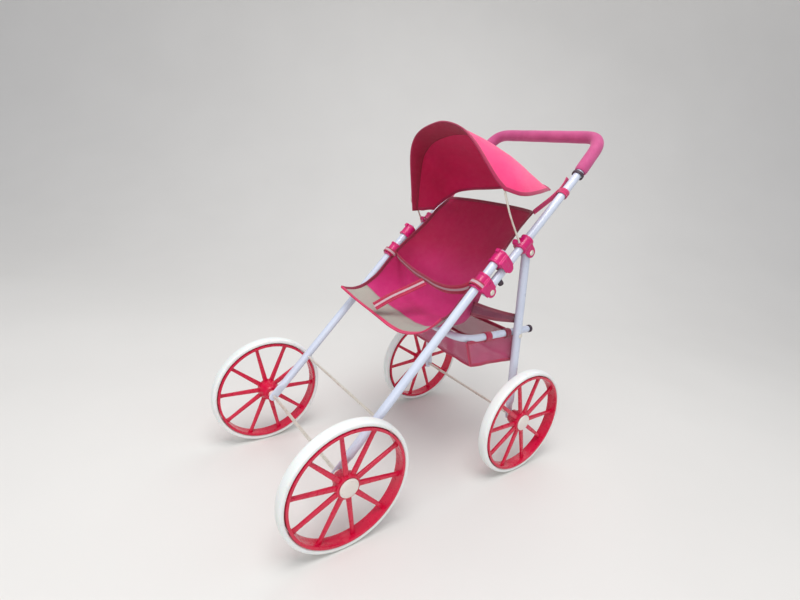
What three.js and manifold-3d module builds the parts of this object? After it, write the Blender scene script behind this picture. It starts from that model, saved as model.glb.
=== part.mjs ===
// Doll stroller: folding steel frame, fabric seat and canopy, mesh basket and four spoked wheels.
// Millimetres. +Z is up, the front of the stroller faces -Y, and the floor is z = 0.
// Every y below is measured from the front axle; `add` moves each piece by Y_SHIFT, so that the origin ends
// midway between the front wheels' front and the back of the handle.

import * as THREE from "three";
import { mergeVertices } from "three/addons/utils/BufferGeometryUtils.js";
import Module from "manifold-3d";

const wasm = await Module();
wasm.setup();

// ---------------------------------------------------------------- driving dimensions
const WHEEL_R = 95;
const TYRE_INNER_R = 87;
const TYRE_WIDTH = 17;
const RIM_INNER_R = 80;
const RIM_WIDTH = 18;
const SPOKE_COUNT = 10;
const WHEEL_SEGMENTS = 40;
const HALF_SEGMENT = Math.PI / WHEEL_SEGMENTS;
const TREAD_R = WHEEL_R / Math.cos(HALF_SEGMENT); // so that the lowest facet lies flat on the floor
const SPOKE_THICKNESS = 5;
const SPOKE_HUB_HALF = 4.2;
const SPOKE_RIM_HALF = 2.8;
const HUB_R = 17;
const HUB_INNER_REACH = 20;
const HUB_FACE = RIM_WIDTH / 2 - 4; // the hub's outer face lies inside the rim's
const CAP_R = 14;
const CAP_HEIGHT = 3.2;
const WHEELBASE = 344;
const FRONT_HALF_TRACK = 142.5;
const REAR_HALF_TRACK = 140.5;

const AXLE_R = 2.5;
const RUNNING_GAP = 0.3;
const AXLE_HOLE = AXLE_R + RUNNING_GAP;
const SPACER_R = 6;
const CROSS_ROD_R = 2;

const TUBE_R = 6.5;
const LEG_X = 113;
const LEG_ANGLE = THREE.MathUtils.degToRad(48.9);
const LEG_TOP_Y = 257;
const TAB_HALF = 1.8; // half the thickness of the flattened end around an axle
const TAB_FROM = -8;
const TAB_TO = 26;
const TUBE_FROM = 16;

const HANDLE_X = 116;
const HANDLE_ANGLE = THREE.MathUtils.degToRad(47.2);
const HANDLE_BEND = { y: 400, z: 513.3 };
const HANDLE_BAR = { y: 446, z: 571.5 };
const HANDLE_CORNER_R = 32;
const GRIP_R = 10;
const GRIP_BORE_R = 7.6;

const REAR_LEG_R = 7;
const REAR_LEG_PIVOT_DROP = 18;
const REAR_BRACKET_Y = 296;

const SUPPORT_R = 6;
const SUPPORT_X = 99.6;
const SUPPORT_Z = 248;
const SUPPORT_FRONT_Y = 214;
const SUPPORT_REAR_Y = 370;
const SUPPORT_CORNER_R = 36;

const PIN_R = 2.2;
const BOW_R = 1.5;
const BOW_X = 120;
const BOW_SETBACK = 8;
const BOW_LIFT = 13;
const SHEET = 3;
const STRAP_WIDTH = 16;
const STRAP_THICKNESS = 2;

const Y_SHIFT = (WHEEL_R - HANDLE_BAR.y - GRIP_R) / 2;

// ---------------------------------------------------------------- colours and materials
const paint = (color, roughness, metalness = 0) =>
  new THREE.MeshStandardMaterial({ color, roughness, metalness });
const MATERIALS = {
  frame: paint(0xd5dbe8, 0.35),
  zinc: paint(0xb9b2a4, 0.35, 1),
  tyre: paint(0xeef0ec, 0.6),
  rim: paint(0xd81b55, 0.25),
  cap: paint(0xe6dede, 0.45),
  clip: paint(0xc4187a, 0.35),
  dark: paint(0x3d3340, 0.5),
  foam: paint(0xc2447f, 0.85),
  canopy: paint(0xd42a72, 0.8),
  seat: paint(0xb01c5c, 0.8),
  belt: paint(0xa84a78, 0.8),
  basket: paint(0xa0456a, 0.85),
};

// ---------------------------------------------------------------- helpers
const stroller = new THREE.Group();

function add(name, geometry, material) {
  const mesh = new THREE.Mesh(geometry, MATERIALS[material]);
  mesh.name = name;
  mesh.position.y = Y_SHIFT;
  stroller.add(mesh);
}

function toManifold(geometry) {
  const plain = geometry.clone();
  plain.deleteAttribute("normal");
  plain.deleteAttribute("uv");
  const merged = mergeVertices(plain, 1e-4);
  return new wasm.Manifold(
    new wasm.Mesh({
      numProp: 3,
      vertProperties: new Float32Array(merged.attributes.position.array),
      triVerts: new Uint32Array(merged.index.array),
    }),
  );
}

function fromManifold(solid) {
  const mesh = solid.getMesh();
  const geometry = new THREE.BufferGeometry();
  geometry.setAttribute("position", new THREE.BufferAttribute(new Float32Array(mesh.vertProperties), 3));
  geometry.setIndex(new THREE.BufferAttribute(new Uint32Array(mesh.triVerts), 1));
  return geometry;
}

function combine(first, added, removed = []) {
  let solid = toManifold(first);
  for (const geometry of added) solid = solid.add(toManifold(geometry));
  for (const geometry of removed) solid = solid.subtract(toManifold(geometry));
  return fromManifold(solid);
}

/** A rod between two points, given as [x, y, z]. */
function rod(from, to, radius, sides = 16) {
  const start = new THREE.Vector3(...from);
  const span = new THREE.Vector3(...to).sub(start);
  const geometry = new THREE.CylinderGeometry(radius, radius, span.length(), sides);
  geometry.applyQuaternion(
    new THREE.Quaternion().setFromUnitVectors(new THREE.Vector3(0, 1, 0), span.clone().normalize()),
  );
  return geometry.translate(...start.add(span.multiplyScalar(0.5)).toArray());
}

/** A revolved outline of [radius, x] points about the line through (y, z) that runs along X. */
function turned(outline, y, z, segments) {
  const geometry = new THREE.LatheGeometry(outline.map(([r, x]) => new THREE.Vector2(r, x)), segments);
  return geometry.rotateZ(-Math.PI / 2).translate(0, y, z);
}

/** A box whose long side lies along `angle` in the side view: u is along it, w is 90 degrees above it. */
function slantedBox(angle, y, z, [x0, x1], [u0, u1], [w0, w1]) {
  const geometry = new THREE.BoxGeometry(x1 - x0, u1 - u0, w1 - w0);
  geometry.translate((x0 + x1) / 2, (u0 + u1) / 2, (w0 + w1) / 2);
  return geometry.rotateX(angle).translate(0, y, z);
}

/** The point at distance u along and w above a line at `angle` through (y, z). */
function offset(angle, y, z, u, w) {
  return {
    y: y + u * Math.cos(angle) - w * Math.sin(angle),
    z: z + u * Math.sin(angle) + w * Math.cos(angle),
  };
}

/** A round section swept along straight runs joined by curved corners. */
function bentTube(corners, cornerRadius, radius, steps, halfSides, bore = 0) {
  const points = corners.map((p) => new THREE.Vector3(...p));
  const path = new THREE.CurvePath();
  let cursor = points[0];
  for (let i = 1; i < points.length - 1; i += 1) {
    const before = points[i].clone().add(points[i - 1].clone().sub(points[i]).setLength(cornerRadius));
    const after = points[i].clone().add(points[i + 1].clone().sub(points[i]).setLength(cornerRadius));
    path.add(new THREE.LineCurve3(cursor, before));
    path.add(new THREE.QuadraticBezierCurve3(before, points[i], after));
    cursor = after;
  }
  path.add(new THREE.LineCurve3(cursor, points[points.length - 1]));
  const section = new THREE.Shape().absarc(0, 0, radius, 0, Math.PI * 2);
  if (bore > 0) section.holes.push(new THREE.Path().absarc(0, 0, bore, 0, Math.PI * 2));
  const options = { steps, curveSegments: halfSides, extrudePath: path, bevelEnabled: false };
  return new THREE.ExtrudeGeometry(section, options);
}

/** A closed sheet of the given thickness around the surface point(u, v), with u and v from 0 to 1. */
function thickSheet(point, columns, rows, thickness) {
  const positions = [];
  const index = [];
  const at = (u, v) => new THREE.Vector3(...point(u, v));
  const step = 1e-3;
  for (const side of [0.5, -0.5]) {
    for (let j = 0; j <= rows; j += 1) {
      for (let i = 0; i <= columns; i += 1) {
        const u = i / columns;
        const v = j / rows;
        const alongU = at(Math.min(u + step, 1), v).sub(at(Math.max(u - step, 0), v));
        const alongV = at(u, Math.min(v + step, 1)).sub(at(u, Math.max(v - step, 0)));
        const normal = alongU.cross(alongV).normalize();
        positions.push(...at(u, v).addScaledVector(normal, side * thickness).toArray());
      }
    }
  }
  const stride = columns + 1;
  const layer = stride * (rows + 1);
  const quad = (a, b, c, d) => index.push(a, b, c, a, c, d);
  for (let j = 0; j < rows; j += 1) {
    for (let i = 0; i < columns; i += 1) {
      const a = j * stride + i;
      quad(a, a + 1, a + 1 + stride, a + stride);
      quad(a + layer, a + stride + layer, a + 1 + stride + layer, a + 1 + layer);
    }
  }
  for (let i = 0; i < columns; i += 1) {
    const top = rows * stride + i;
    quad(i, i + layer, i + 1 + layer, i + 1);
    quad(top, top + 1, top + 1 + layer, top + layer);
  }
  for (let j = 0; j < rows; j += 1) {
    const left = j * stride;
    const right = left + columns;
    quad(left, left + stride, left + stride + layer, left + layer);
    quad(right, right + layer, right + stride + layer, right + stride);
  }
  const geometry = new THREE.BufferGeometry();
  geometry.setAttribute("position", new THREE.Float32BufferAttribute(positions, 3));
  geometry.setIndex(index);
  return geometry;
}

/** The point at t, from 0 to 1, on a smooth side-view line through [y, z] points. */
function smooth(points, t) {
  const curve = new THREE.CatmullRomCurve3(points.map(([y, z]) => new THREE.Vector3(0, y, z)));
  const p = curve.getPoint(t);
  return { y: p.y, z: p.z };
}

const SIDES = [["left", 1], ["right", -1]];

// ---------------------------------------------------------------- frame lines in the side view
const legLine = (y) => WHEEL_R + y * Math.tan(LEG_ANGLE);
const handleLine = (y) => HANDLE_BEND.z + (y - HANDLE_BEND.y) * Math.tan(HANDLE_ANGLE);
const FOLD_Y = 232;
const FOLD = { y: FOLD_Y, z: handleLine(FOLD_Y) };
const FOLD_SPACING = (legLine(FOLD_Y) - FOLD.z) * Math.cos(LEG_ANGLE);
const REAR_BRACKET = { y: REAR_BRACKET_Y, z: handleLine(REAR_BRACKET_Y) };
const REAR_PIVOT = offset(HANDLE_ANGLE, REAR_BRACKET.y, REAR_BRACKET.z, 0, -REAR_LEG_PIVOT_DROP);
const REAR_LEG_ANGLE = Math.atan2(REAR_PIVOT.z - WHEEL_R, REAR_PIVOT.y - WHEELBASE);
const rearLegY = (z) => WHEELBASE + (z - WHEEL_R) / Math.tan(REAR_LEG_ANGLE);
const SUPPORT_PIN = { y: rearLegY(SUPPORT_Z), z: SUPPORT_Z };
const BOW_PIVOT = offset(HANDLE_ANGLE, REAR_BRACKET.y, REAR_BRACKET.z, -BOW_SETBACK, BOW_LIFT);

// ---------------------------------------------------------------- wheels and axles
function tyre(side, track, y) {
  const half = TYRE_WIDTH / 2;
  const shoulder = 4.5;
  const outline = [
    [TYRE_INNER_R, -half], [TREAD_R - shoulder, -half], [TREAD_R, -half + shoulder],
    [TREAD_R, half - shoulder], [TREAD_R - shoulder, half], [TYRE_INNER_R, half], [TYRE_INNER_R, -half],
  ];
  const geometry = new THREE.LatheGeometry(outline.map(([r, x]) => new THREE.Vector2(r, x)), WHEEL_SEGMENTS);
  geometry.rotateY(HALF_SEGMENT);
  return geometry.rotateZ(-Math.PI / 2).translate(side * track, y, WHEEL_R);
}

function spoke() {
  const inner = HUB_R - 3;
  const outer = RIM_INNER_R + 2;
  const shape = new THREE.Shape();
  shape.moveTo(inner, -SPOKE_HUB_HALF);
  shape.lineTo(outer, -SPOKE_RIM_HALF);
  shape.lineTo(outer, SPOKE_RIM_HALF);
  shape.lineTo(inner, SPOKE_HUB_HALF);
  shape.closePath();
  const geometry = new THREE.ExtrudeGeometry(shape, { depth: SPOKE_THICKNESS, bevelEnabled: false });
  return geometry.translate(0, 0, -SPOKE_THICKNESS / 2).rotateY(Math.PI / 2);
}

function wheelRim(side, track, y) {
  const half = RIM_WIDTH / 2;
  const ring = turned(
    [[RIM_INNER_R, -half], [TYRE_INNER_R - RUNNING_GAP, -half], [TYRE_INNER_R - RUNNING_GAP, half],
      [RIM_INNER_R, half], [RIM_INNER_R, -half]],
    0, 0, WHEEL_SEGMENTS,
  ).rotateX(HALF_SEGMENT);
  const hub = turned(
    [[0, -HUB_INNER_REACH], [HUB_R - 5, -HUB_INNER_REACH], [HUB_R, -half], [HUB_R, HUB_FACE], [0, HUB_FACE]],
    0, 0, 24,
  );
  const bore = rod([-2 * HUB_INNER_REACH, 0, 0], [2 * HUB_INNER_REACH, 0, 0], AXLE_HOLE, 12);
  const spokes = [];
  for (let i = 0; i < SPOKE_COUNT; i += 1) {
    spokes.push(spoke().rotateX((i * 2 * Math.PI) / SPOKE_COUNT));
  }
  const wheel = combine(hub, [ring, ...spokes], [bore]);
  if (side < 0) wheel.rotateZ(Math.PI);
  return wheel.translate(side * track, y, WHEEL_R);
}

function hubCap(side, track, y) {
  const base = HUB_FACE + RUNNING_GAP;
  const rimHeight = 1.2;
  const crownDrop = 0.6;
  const cap = turned(
    [[0, base], [CAP_R, base], [CAP_R, base + rimHeight], [CAP_R * 0.8, base + CAP_HEIGHT - crownDrop],
      [0, base + CAP_HEIGHT]],
    0, 0, 20,
  );
  if (side < 0) cap.rotateZ(Math.PI);
  return cap.translate(side * track, y, WHEEL_R);
}

function axleSpacer(side, track, y) {
  const inner = LEG_X + TAB_HALF + RUNNING_GAP;
  const outer = track - HUB_INNER_REACH - RUNNING_GAP;
  const outline = [
    [AXLE_HOLE, inner], [SPACER_R, inner], [SPACER_R, outer], [AXLE_HOLE, outer], [AXLE_HOLE, inner],
  ];
  const spacer = turned(outline, 0, 0, 14);
  if (side < 0) spacer.rotateZ(Math.PI);
  return spacer.translate(0, y, WHEEL_R);
}

for (const [end, track, y] of [["front", FRONT_HALF_TRACK, 0], ["rear", REAR_HALF_TRACK, WHEELBASE]]) {
  const axleHalf = track + HUB_FACE - RUNNING_GAP;
  add(`${end}_axle`, rod([-axleHalf, y, WHEEL_R], [axleHalf, y, WHEEL_R], AXLE_R, 12), "zinc");
  for (const [name, side] of SIDES) {
    add(`${end}_${name}_tyre`, tyre(side, track, y), "tyre");
    add(`${end}_${name}_wheel`, wheelRim(side, track, y), "rim");
    add(`${end}_${name}_hub_cap`, hubCap(side, track, y), "cap");
    add(`${end}_${name}_axle_spacer`, axleSpacer(side, track, y), "cap");
  }
}

// ---------------------------------------------------------------- straight legs
/** A tube whose lower end is flattened into a tab around the axle. */
function leg(x, angle, axleY, length, radius, holes) {
  const up = (u) => offset(angle, axleY, WHEEL_R, u, 0);
  const foot = up(TUBE_FROM);
  const head = up(length);
  const tube = rod([x, foot.y, foot.z], [x, head.y, head.z], radius);
  const tab = slantedBox(
    angle, axleY, WHEEL_R, [x - TAB_HALF, x + TAB_HALF], [TAB_FROM, TAB_TO], [-radius - 1, radius + 1],
  );
  const drill = ({ y, z, r }) => rod([x - 3 * radius, y, z], [x + 3 * radius, y, z], r, 12);
  return combine(tube, [tab], [{ y: axleY, z: WHEEL_R, r: AXLE_HOLE }, ...holes].map(drill));
}

const FRONT_LEG_LENGTH = LEG_TOP_Y / Math.cos(LEG_ANGLE);
const REAR_LEG_LENGTH = (REAR_PIVOT.z - WHEEL_R) / Math.sin(REAR_LEG_ANGLE) + 4;
const PIN_HOLE = PIN_R + RUNNING_GAP;
for (const [name, side] of SIDES) {
  add(`front_leg_${name}`, leg(side * LEG_X, LEG_ANGLE, 0, FRONT_LEG_LENGTH, TUBE_R, []), "frame");
  const rearHoles = [{ ...REAR_PIVOT, r: PIN_HOLE }, { ...SUPPORT_PIN, r: PIN_HOLE }];
  const rearLeg = leg(side * LEG_X, REAR_LEG_ANGLE, WHEELBASE, REAR_LEG_LENGTH, REAR_LEG_R, rearHoles);
  add(`rear_leg_${name}`, rearLeg, "frame");
}

const CROSS_ROD_Y = 58;
const crossRodHalf = LEG_X - TUBE_R - RUNNING_GAP;
add(
  "front_cross_rod",
  rod([-crossRodHalf, CROSS_ROD_Y, legLine(CROSS_ROD_Y)], [crossRodHalf, CROSS_ROD_Y, legLine(CROSS_ROD_Y)],
    CROSS_ROD_R, 8),
  "zinc",
);

// ---------------------------------------------------------------- handle and grip
const HANDLE_END_REACH = 6; // past the fold pin, short enough to turn clear of the joint's collar
const handleEnd = offset(HANDLE_ANGLE, FOLD.y, FOLD.z, -HANDLE_END_REACH, 0);
const handleCorners = [
  [HANDLE_X, handleEnd.y, handleEnd.z],
  [HANDLE_X, HANDLE_BEND.y, HANDLE_BEND.z],
  [HANDLE_X, HANDLE_BAR.y, HANDLE_BAR.z],
  [-HANDLE_X, HANDLE_BAR.y, HANDLE_BAR.z],
  [-HANDLE_X, HANDLE_BEND.y, HANDLE_BEND.z],
  [-HANDLE_X, handleEnd.y, handleEnd.z],
];
const DRILL_X = HANDLE_X + 24; // a drilled hole starts and ends outside everything it passes through
const foldHole = rod([-DRILL_X, FOLD.y, FOLD.z], [DRILL_X, FOLD.y, FOLD.z], PIN_HOLE, 12);
add("handle_tube", combine(bentTube(handleCorners, HANDLE_CORNER_R, TUBE_R, 50, 5), [], [foldHole]), "frame");

const END_RING_SETBACK = 4.5;
const gripStart = { y: HANDLE_BEND.y + 1, z: HANDLE_BEND.z + 1.3 };
const gripCorners = [
  [HANDLE_X, gripStart.y, gripStart.z],
  [HANDLE_X, HANDLE_BAR.y, HANDLE_BAR.z],
  [-HANDLE_X, HANDLE_BAR.y, HANDLE_BAR.z],
  [-HANDLE_X, gripStart.y, gripStart.z],
];
add("handle_grip", bentTube(gripCorners, HANDLE_CORNER_R, GRIP_R, 24, 5, GRIP_BORE_R), "foam");

/** A short sleeve around a tube at `angle`, centred on (x, y, z). */
function sleeve(x, angle, y, z, half, bore, radius) {
  const outline = [[bore, -half], [radius, -half], [radius, half], [bore, half], [bore, -half]];
  const geometry = new THREE.LatheGeometry(outline.map(([r, h]) => new THREE.Vector2(r, h)), 16);
  return geometry.rotateX(angle).translate(x, y, z);
}

for (const [name, side] of SIDES) {
  const end = offset(HANDLE_ANGLE, HANDLE_BEND.y, HANDLE_BEND.z, -END_RING_SETBACK, 0);
  const ring = sleeve(side * HANDLE_X, HANDLE_ANGLE, end.y, end.z, 2, GRIP_BORE_R, GRIP_R - 0.5);
  add(`grip_end_ring_${name}`, ring, "dark");
}

// ---------------------------------------------------------------- plastic clips and their pins
const CHEEK_HALF_GAP = 7.3;
const CHEEK = 3.4;
const COLLAR = 9.5;
const TUBE_HOLE = TUBE_R + RUNNING_GAP;
const PIN_HEAD_R = 4.5;
const BRACKET_HALF = 11;
const BOW_LUG = [-BOW_SETBACK - 4, -BOW_SETBACK + 4];

/**
 * A moulded clevis: a collar around one tube and two cheeks that flank another tube `drop` below it.
 * The collar's tube is at collarX and the flanked tube at forkX; the cheeks go on for `reach` below that.
 */
function clevis({ collarX, forkX, angle, y, z, halfLength, drop, reach }) {
  const inner = forkX - CHEEK_HALF_GAP - CHEEK;
  const outer = forkX + CHEEK_HALF_GAP + CHEEK;
  const span = [-halfLength, halfLength];
  const block = slantedBox(angle, y, z, [inner, outer], span, [-COLLAR, COLLAR]);
  const cheeks = [
    slantedBox(angle, y, z, [inner, inner + CHEEK], span, [-drop - reach, 0]),
    slantedBox(angle, y, z, [outer - CHEEK, outer], span, [-drop - reach, 0]),
  ];
  const low = offset(angle, y, z, -2 * halfLength, 0);
  const high = offset(angle, y, z, 2 * halfLength, 0);
  const tubeHole = rod([collarX, low.y, low.z], [collarX, high.y, high.z], TUBE_HOLE);
  return { block, cheeks, tubeHole, inner, outer };
}

function mirrored(geometry, side) {
  if (side > 0) return geometry;
  const flipped = geometry.clone();
  const positions = flipped.attributes.position;
  for (let i = 0; i < positions.count; i += 1) positions.setX(i, -positions.getX(i));
  const index = flipped.index.array;
  for (let i = 0; i < index.length; i += 3) [index[i], index[i + 1]] = [index[i + 1], index[i]];
  return flipped;
}

/** A rivet along X with a round head outside each face. */
function rivet(x0, x1, y, z, headR) {
  const head = 1.6;
  const gap = RUNNING_GAP;
  const low = x0 - gap;
  const high = x1 + gap;
  return turned(
    [[0, low - head], [headR * 0.6, low - head], [headR, low], [PIN_R, low],
      [PIN_R, high], [headR, high], [headR * 0.6, high + head], [0, high + head]],
    y, z, 12,
  );
}

const foldCollar = offset(LEG_ANGLE, FOLD.y, FOLD.z, 0, FOLD_SPACING);
const latchY = LEG_TOP_Y - 9;
const latchDrop = (legLine(latchY) - handleLine(latchY)) * Math.cos(LEG_ANGLE);
const STUD_LENGTH = 8;
const STUD_R = 4.5;
const drillAcross = ({ y, z }, radius) => rod([LEG_X - 23, y, z], [DRILL_X, y, z], radius, 12);
for (const [name, side] of SIDES) {
  const fold = clevis({
    collarX: LEG_X, forkX: HANDLE_X, angle: LEG_ANGLE, ...foldCollar,
    halfLength: 13, drop: FOLD_SPACING, reach: 9,
  });
  const foldSolid = combine(fold.block, fold.cheeks, [fold.tubeHole, drillAcross(FOLD, PIN_HOLE)]);
  add(`fold_joint_${name}`, mirrored(foldSolid, side), "clip");
  const foldPin = rivet(fold.inner, fold.outer, FOLD.y, FOLD.z, PIN_HEAD_R);
  add(`fold_pin_${name}`, mirrored(foldPin, side), "zinc");

  const latch = clevis({
    collarX: LEG_X, forkX: HANDLE_X, angle: LEG_ANGLE, y: latchY, z: legLine(latchY),
    halfLength: 11, drop: latchDrop, reach: 7,
  });
  const latchSolid = combine(latch.block, latch.cheeks, [latch.tubeHole]);
  add(`latch_clip_${name}`, mirrored(latchSolid, side), "clip");
  const stud = offset(HANDLE_ANGLE, latchY, handleLine(latchY), 2, -TUBE_R - RUNNING_GAP);
  const studEnd = offset(HANDLE_ANGLE, stud.y, stud.z, 0, -STUD_LENGTH);
  add(
    `latch_stud_${name}`,
    rod([side * HANDLE_X, stud.y, stud.z], [side * HANDLE_X, studEnd.y, studEnd.z], STUD_R, 12),
    "dark",
  );

  const bracket = clevis({
    collarX: HANDLE_X, forkX: LEG_X, angle: HANDLE_ANGLE, ...REAR_BRACKET,
    halfLength: BRACKET_HALF, drop: REAR_LEG_PIVOT_DROP, reach: 9,
  });
  const onBracket = (xs, us, ws) => slantedBox(HANDLE_ANGLE, REAR_BRACKET.y, REAR_BRACKET.z, xs, us, ws);
  const lug = onBracket([bracket.inner, BOW_X - BOW_R - 1], BOW_LUG, [COLLAR - 1, BOW_LIFT + 4]);
  const outerWall = onBracket(
    [bracket.outer - 1, HANDLE_X + COLLAR], [-BRACKET_HALF, BRACKET_HALF], [-COLLAR, COLLAR],
  );
  const bracketHoles = [
    bracket.tubeHole,
    drillAcross(REAR_PIVOT, PIN_HOLE),
    drillAcross(BOW_PIVOT, BOW_R + RUNNING_GAP),
  ];
  const bracketSolid = combine(bracket.block, [...bracket.cheeks, lug, outerWall], bracketHoles);
  add(`rear_leg_bracket_${name}`, mirrored(bracketSolid, side), "clip");
  const pin = rivet(bracket.inner, bracket.outer, REAR_PIVOT.y, REAR_PIVOT.z, PIN_HEAD_R);
  add(`rear_leg_pin_${name}`, mirrored(pin, side), "zinc");
}

// ---------------------------------------------------------------- seat and basket support tube
const supportCorners = [
  [SUPPORT_X, SUPPORT_REAR_Y, SUPPORT_Z],
  [SUPPORT_X, SUPPORT_FRONT_Y, SUPPORT_Z],
  [-SUPPORT_X, SUPPORT_FRONT_Y, SUPPORT_Z],
  [-SUPPORT_X, SUPPORT_REAR_Y, SUPPORT_Z],
];
const supportHole = rod(
  [-DRILL_X, SUPPORT_PIN.y, SUPPORT_PIN.z], [DRILL_X, SUPPORT_PIN.y, SUPPORT_PIN.z], PIN_HOLE, 12,
);
const supportTube = bentTube(supportCorners, SUPPORT_CORNER_R, SUPPORT_R, 34, 5);
add("support_tube", combine(supportTube, [], [supportHole]), "frame");
const END_CAP_R = SUPPORT_R + 0.6;
const END_CAP_LENGTH = 4;
for (const [name, side] of SIDES) {
  const capStart = SUPPORT_REAR_Y + RUNNING_GAP;
  const capEnd = capStart + END_CAP_LENGTH;
  const x = side * SUPPORT_X;
  const cap = rod([x, capStart, SUPPORT_Z], [x, capEnd, SUPPORT_Z], END_CAP_R, 14);
  add(`support_end_cap_${name}`, cap, "dark");
  const pin = rivet(SUPPORT_X - SUPPORT_R, LEG_X + REAR_LEG_R, SUPPORT_PIN.y, SUPPORT_PIN.z, 4);
  add(`support_pin_${name}`, mirrored(pin, side), "zinc");
}

// ---------------------------------------------------------------- canopy: wire bow and hood
const BOW_ARCH = [[116, 231, 474], [102, 224, 498], [86, 219, 521], [61, 216, 543], [0, 214, 559]];
const BOW_END_X = HANDLE_X - 14;

function canopyBow() {
  const arch = [...BOW_ARCH.map(([x, y, z]) => [-x, y, z]), ...BOW_ARCH.slice(0, -1).reverse()];
  const knees = [arch[0], arch[arch.length - 1]].map((p) => new THREE.Vector3(...p));
  const feet = [-BOW_X, BOW_X].map((x) => new THREE.Vector3(x, BOW_PIVOT.y, BOW_PIVOT.z));
  const path = new THREE.CurvePath();
  path.add(new THREE.LineCurve3(feet[0], knees[0]));
  path.add(new THREE.CatmullRomCurve3(arch.map((p) => new THREE.Vector3(...p))));
  path.add(new THREE.LineCurve3(knees[1], feet[1]));
  const section = new THREE.Shape().absarc(0, 0, BOW_R, 0, Math.PI * 2);
  const options = { steps: 36, curveSegments: 3, extrudePath: path, bevelEnabled: false };
  const pivotAt = (x) => [x, BOW_PIVOT.y, BOW_PIVOT.z];
  const tip = BOW_X + BOW_R;
  const ends = [-1, 1].map((side) => rod(pivotAt(side * BOW_END_X), pivotAt(side * tip), BOW_R, 8));
  return combine(new THREE.ExtrudeGeometry(section, options), ends);
}
add("canopy_bow", canopyBow(), "zinc");

const HOOD_HALF = 123;
const HOOD_FRONT = { y: 208, crown: 568, hem: 447 };
const HOOD_REAR = { y: 340, crown: 486, hem: 474 };
const HOOD_BULGE = 14;
const HOOD_ROUNDNESS = 0.9;
const HOOD_SWEEP = 22; // how far the front edge falls back at the hems

/** A point of the hood: u runs from the left hem over the crown to the right hem, v from front to rear. */
function hoodPoint(u, v) {
  const across = (1 - 2 * u) * Math.PI / 2;
  const hem = THREE.MathUtils.lerp(HOOD_FRONT.hem, HOOD_REAR.hem, v);
  const bulge = HOOD_BULGE * Math.sin(Math.PI * v);
  const crown = THREE.MathUtils.lerp(HOOD_FRONT.crown, HOOD_REAR.crown, v) + bulge;
  const sweep = (1 - v) * HOOD_SWEEP * Math.abs(Math.sin(across)) ** 4;
  return [
    HOOD_HALF * Math.sin(across),
    THREE.MathUtils.lerp(HOOD_FRONT.y, HOOD_REAR.y, v) + sweep,
    hem + (crown - hem) * Math.max(Math.cos(across), 0) ** HOOD_ROUNDNESS,
  ];
}
add("canopy_hood", thickSheet(hoodPoint, 16, 5, SHEET), "canopy");

// ---------------------------------------------------------------- seat sling, in two panels
const SEAT_HALF = 99.5;
const SEAT_SPREAD = 1.2;
const BASE_PROFILE = [
  [118, 275], [142, 266], [170, 260], [205, 258], [232, 262], [248, 280], [257, 304], [262, 320],
];
const WING_START = 0.6; // the share of the half width where the seat begins to rise to its sides
const WING_END = 1.1;
const WING_BELOW_LEG = 14;
const WING_BELOW_BACK = 8;
const BACK_EDGE_POWER = 2.4;
const BACK_BOTTOM = { centre: [265, 326], edge: [239, 357] };
const BACK_TOP = { centre: [345, 450], edge: [337, 449] };

function basePoint(u, v) {
  const { y, z } = smooth(BASE_PROFILE, v);
  const across = 2 * u - 1;
  const wing = (t) => THREE.MathUtils.smoothstep(t, WING_START, WING_END);
  const rise = wing(Math.abs(across)) / wing(1);
  const wingTop = Math.min(legLine(y) - WING_BELOW_LEG, BACK_BOTTOM.edge[1] - WING_BELOW_BACK);
  const lift = Math.max(0, wingTop - z) * rise;
  const lean = v ** 3 * (BACK_BOTTOM.centre[0] - BACK_BOTTOM.edge[0]) * rise;
  const spread = Math.sin(across * SEAT_SPREAD) / Math.sin(SEAT_SPREAD);
  return [SEAT_HALF * spread, y - lean, z + lift];
}
add("seat_base", thickSheet(basePoint, 12, 10, SHEET), "seat");

function backPoint(u, v) {
  const across = 2 * u - 1;
  const edge = Math.abs(across) ** BACK_EDGE_POWER;
  const mix = (key, i) => THREE.MathUtils.lerp(BACK_BOTTOM[key][i], BACK_TOP[key][i], v);
  return [
    SEAT_HALF * across,
    THREE.MathUtils.lerp(mix("centre", 0), mix("edge", 0), edge),
    THREE.MathUtils.lerp(mix("centre", 1), mix("edge", 1), edge),
  ];
}
add("seat_back", thickSheet(backPoint, 10, 6, SHEET), "seat");

// ---------------------------------------------------------------- straps
/** A flat strap along the curve through the given points, with its width along `across`. */
function strap(points, across, width, steps) {
  const curve = new THREE.CatmullRomCurve3(points.map((p) => new THREE.Vector3(...p)));
  const direction = new THREE.Vector3(...across).normalize();
  const point = (u, v) => curve.getPoint(v).addScaledVector(direction, (0.5 - u) * width).toArray();
  return thickSheet(point, 1, steps, STRAP_THICKNESS);
}

const waistPoints = [
  [-104, 217, 350], [-60, 207, 324], [0, 200, 308], [60, 207, 324], [104, 217, 350],
];
add("harness_waist_strap", strap(waistPoints, [0, -0.25, 1], STRAP_WIDTH, 12), "belt");
const crotchPoints = [[0, 198, 297], [-10, 160, 286], [-20, 123, 281.5]];
add("harness_crotch_strap", strap(crotchPoints, [1, 0, 0], STRAP_WIDTH, 4), "belt");

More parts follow.
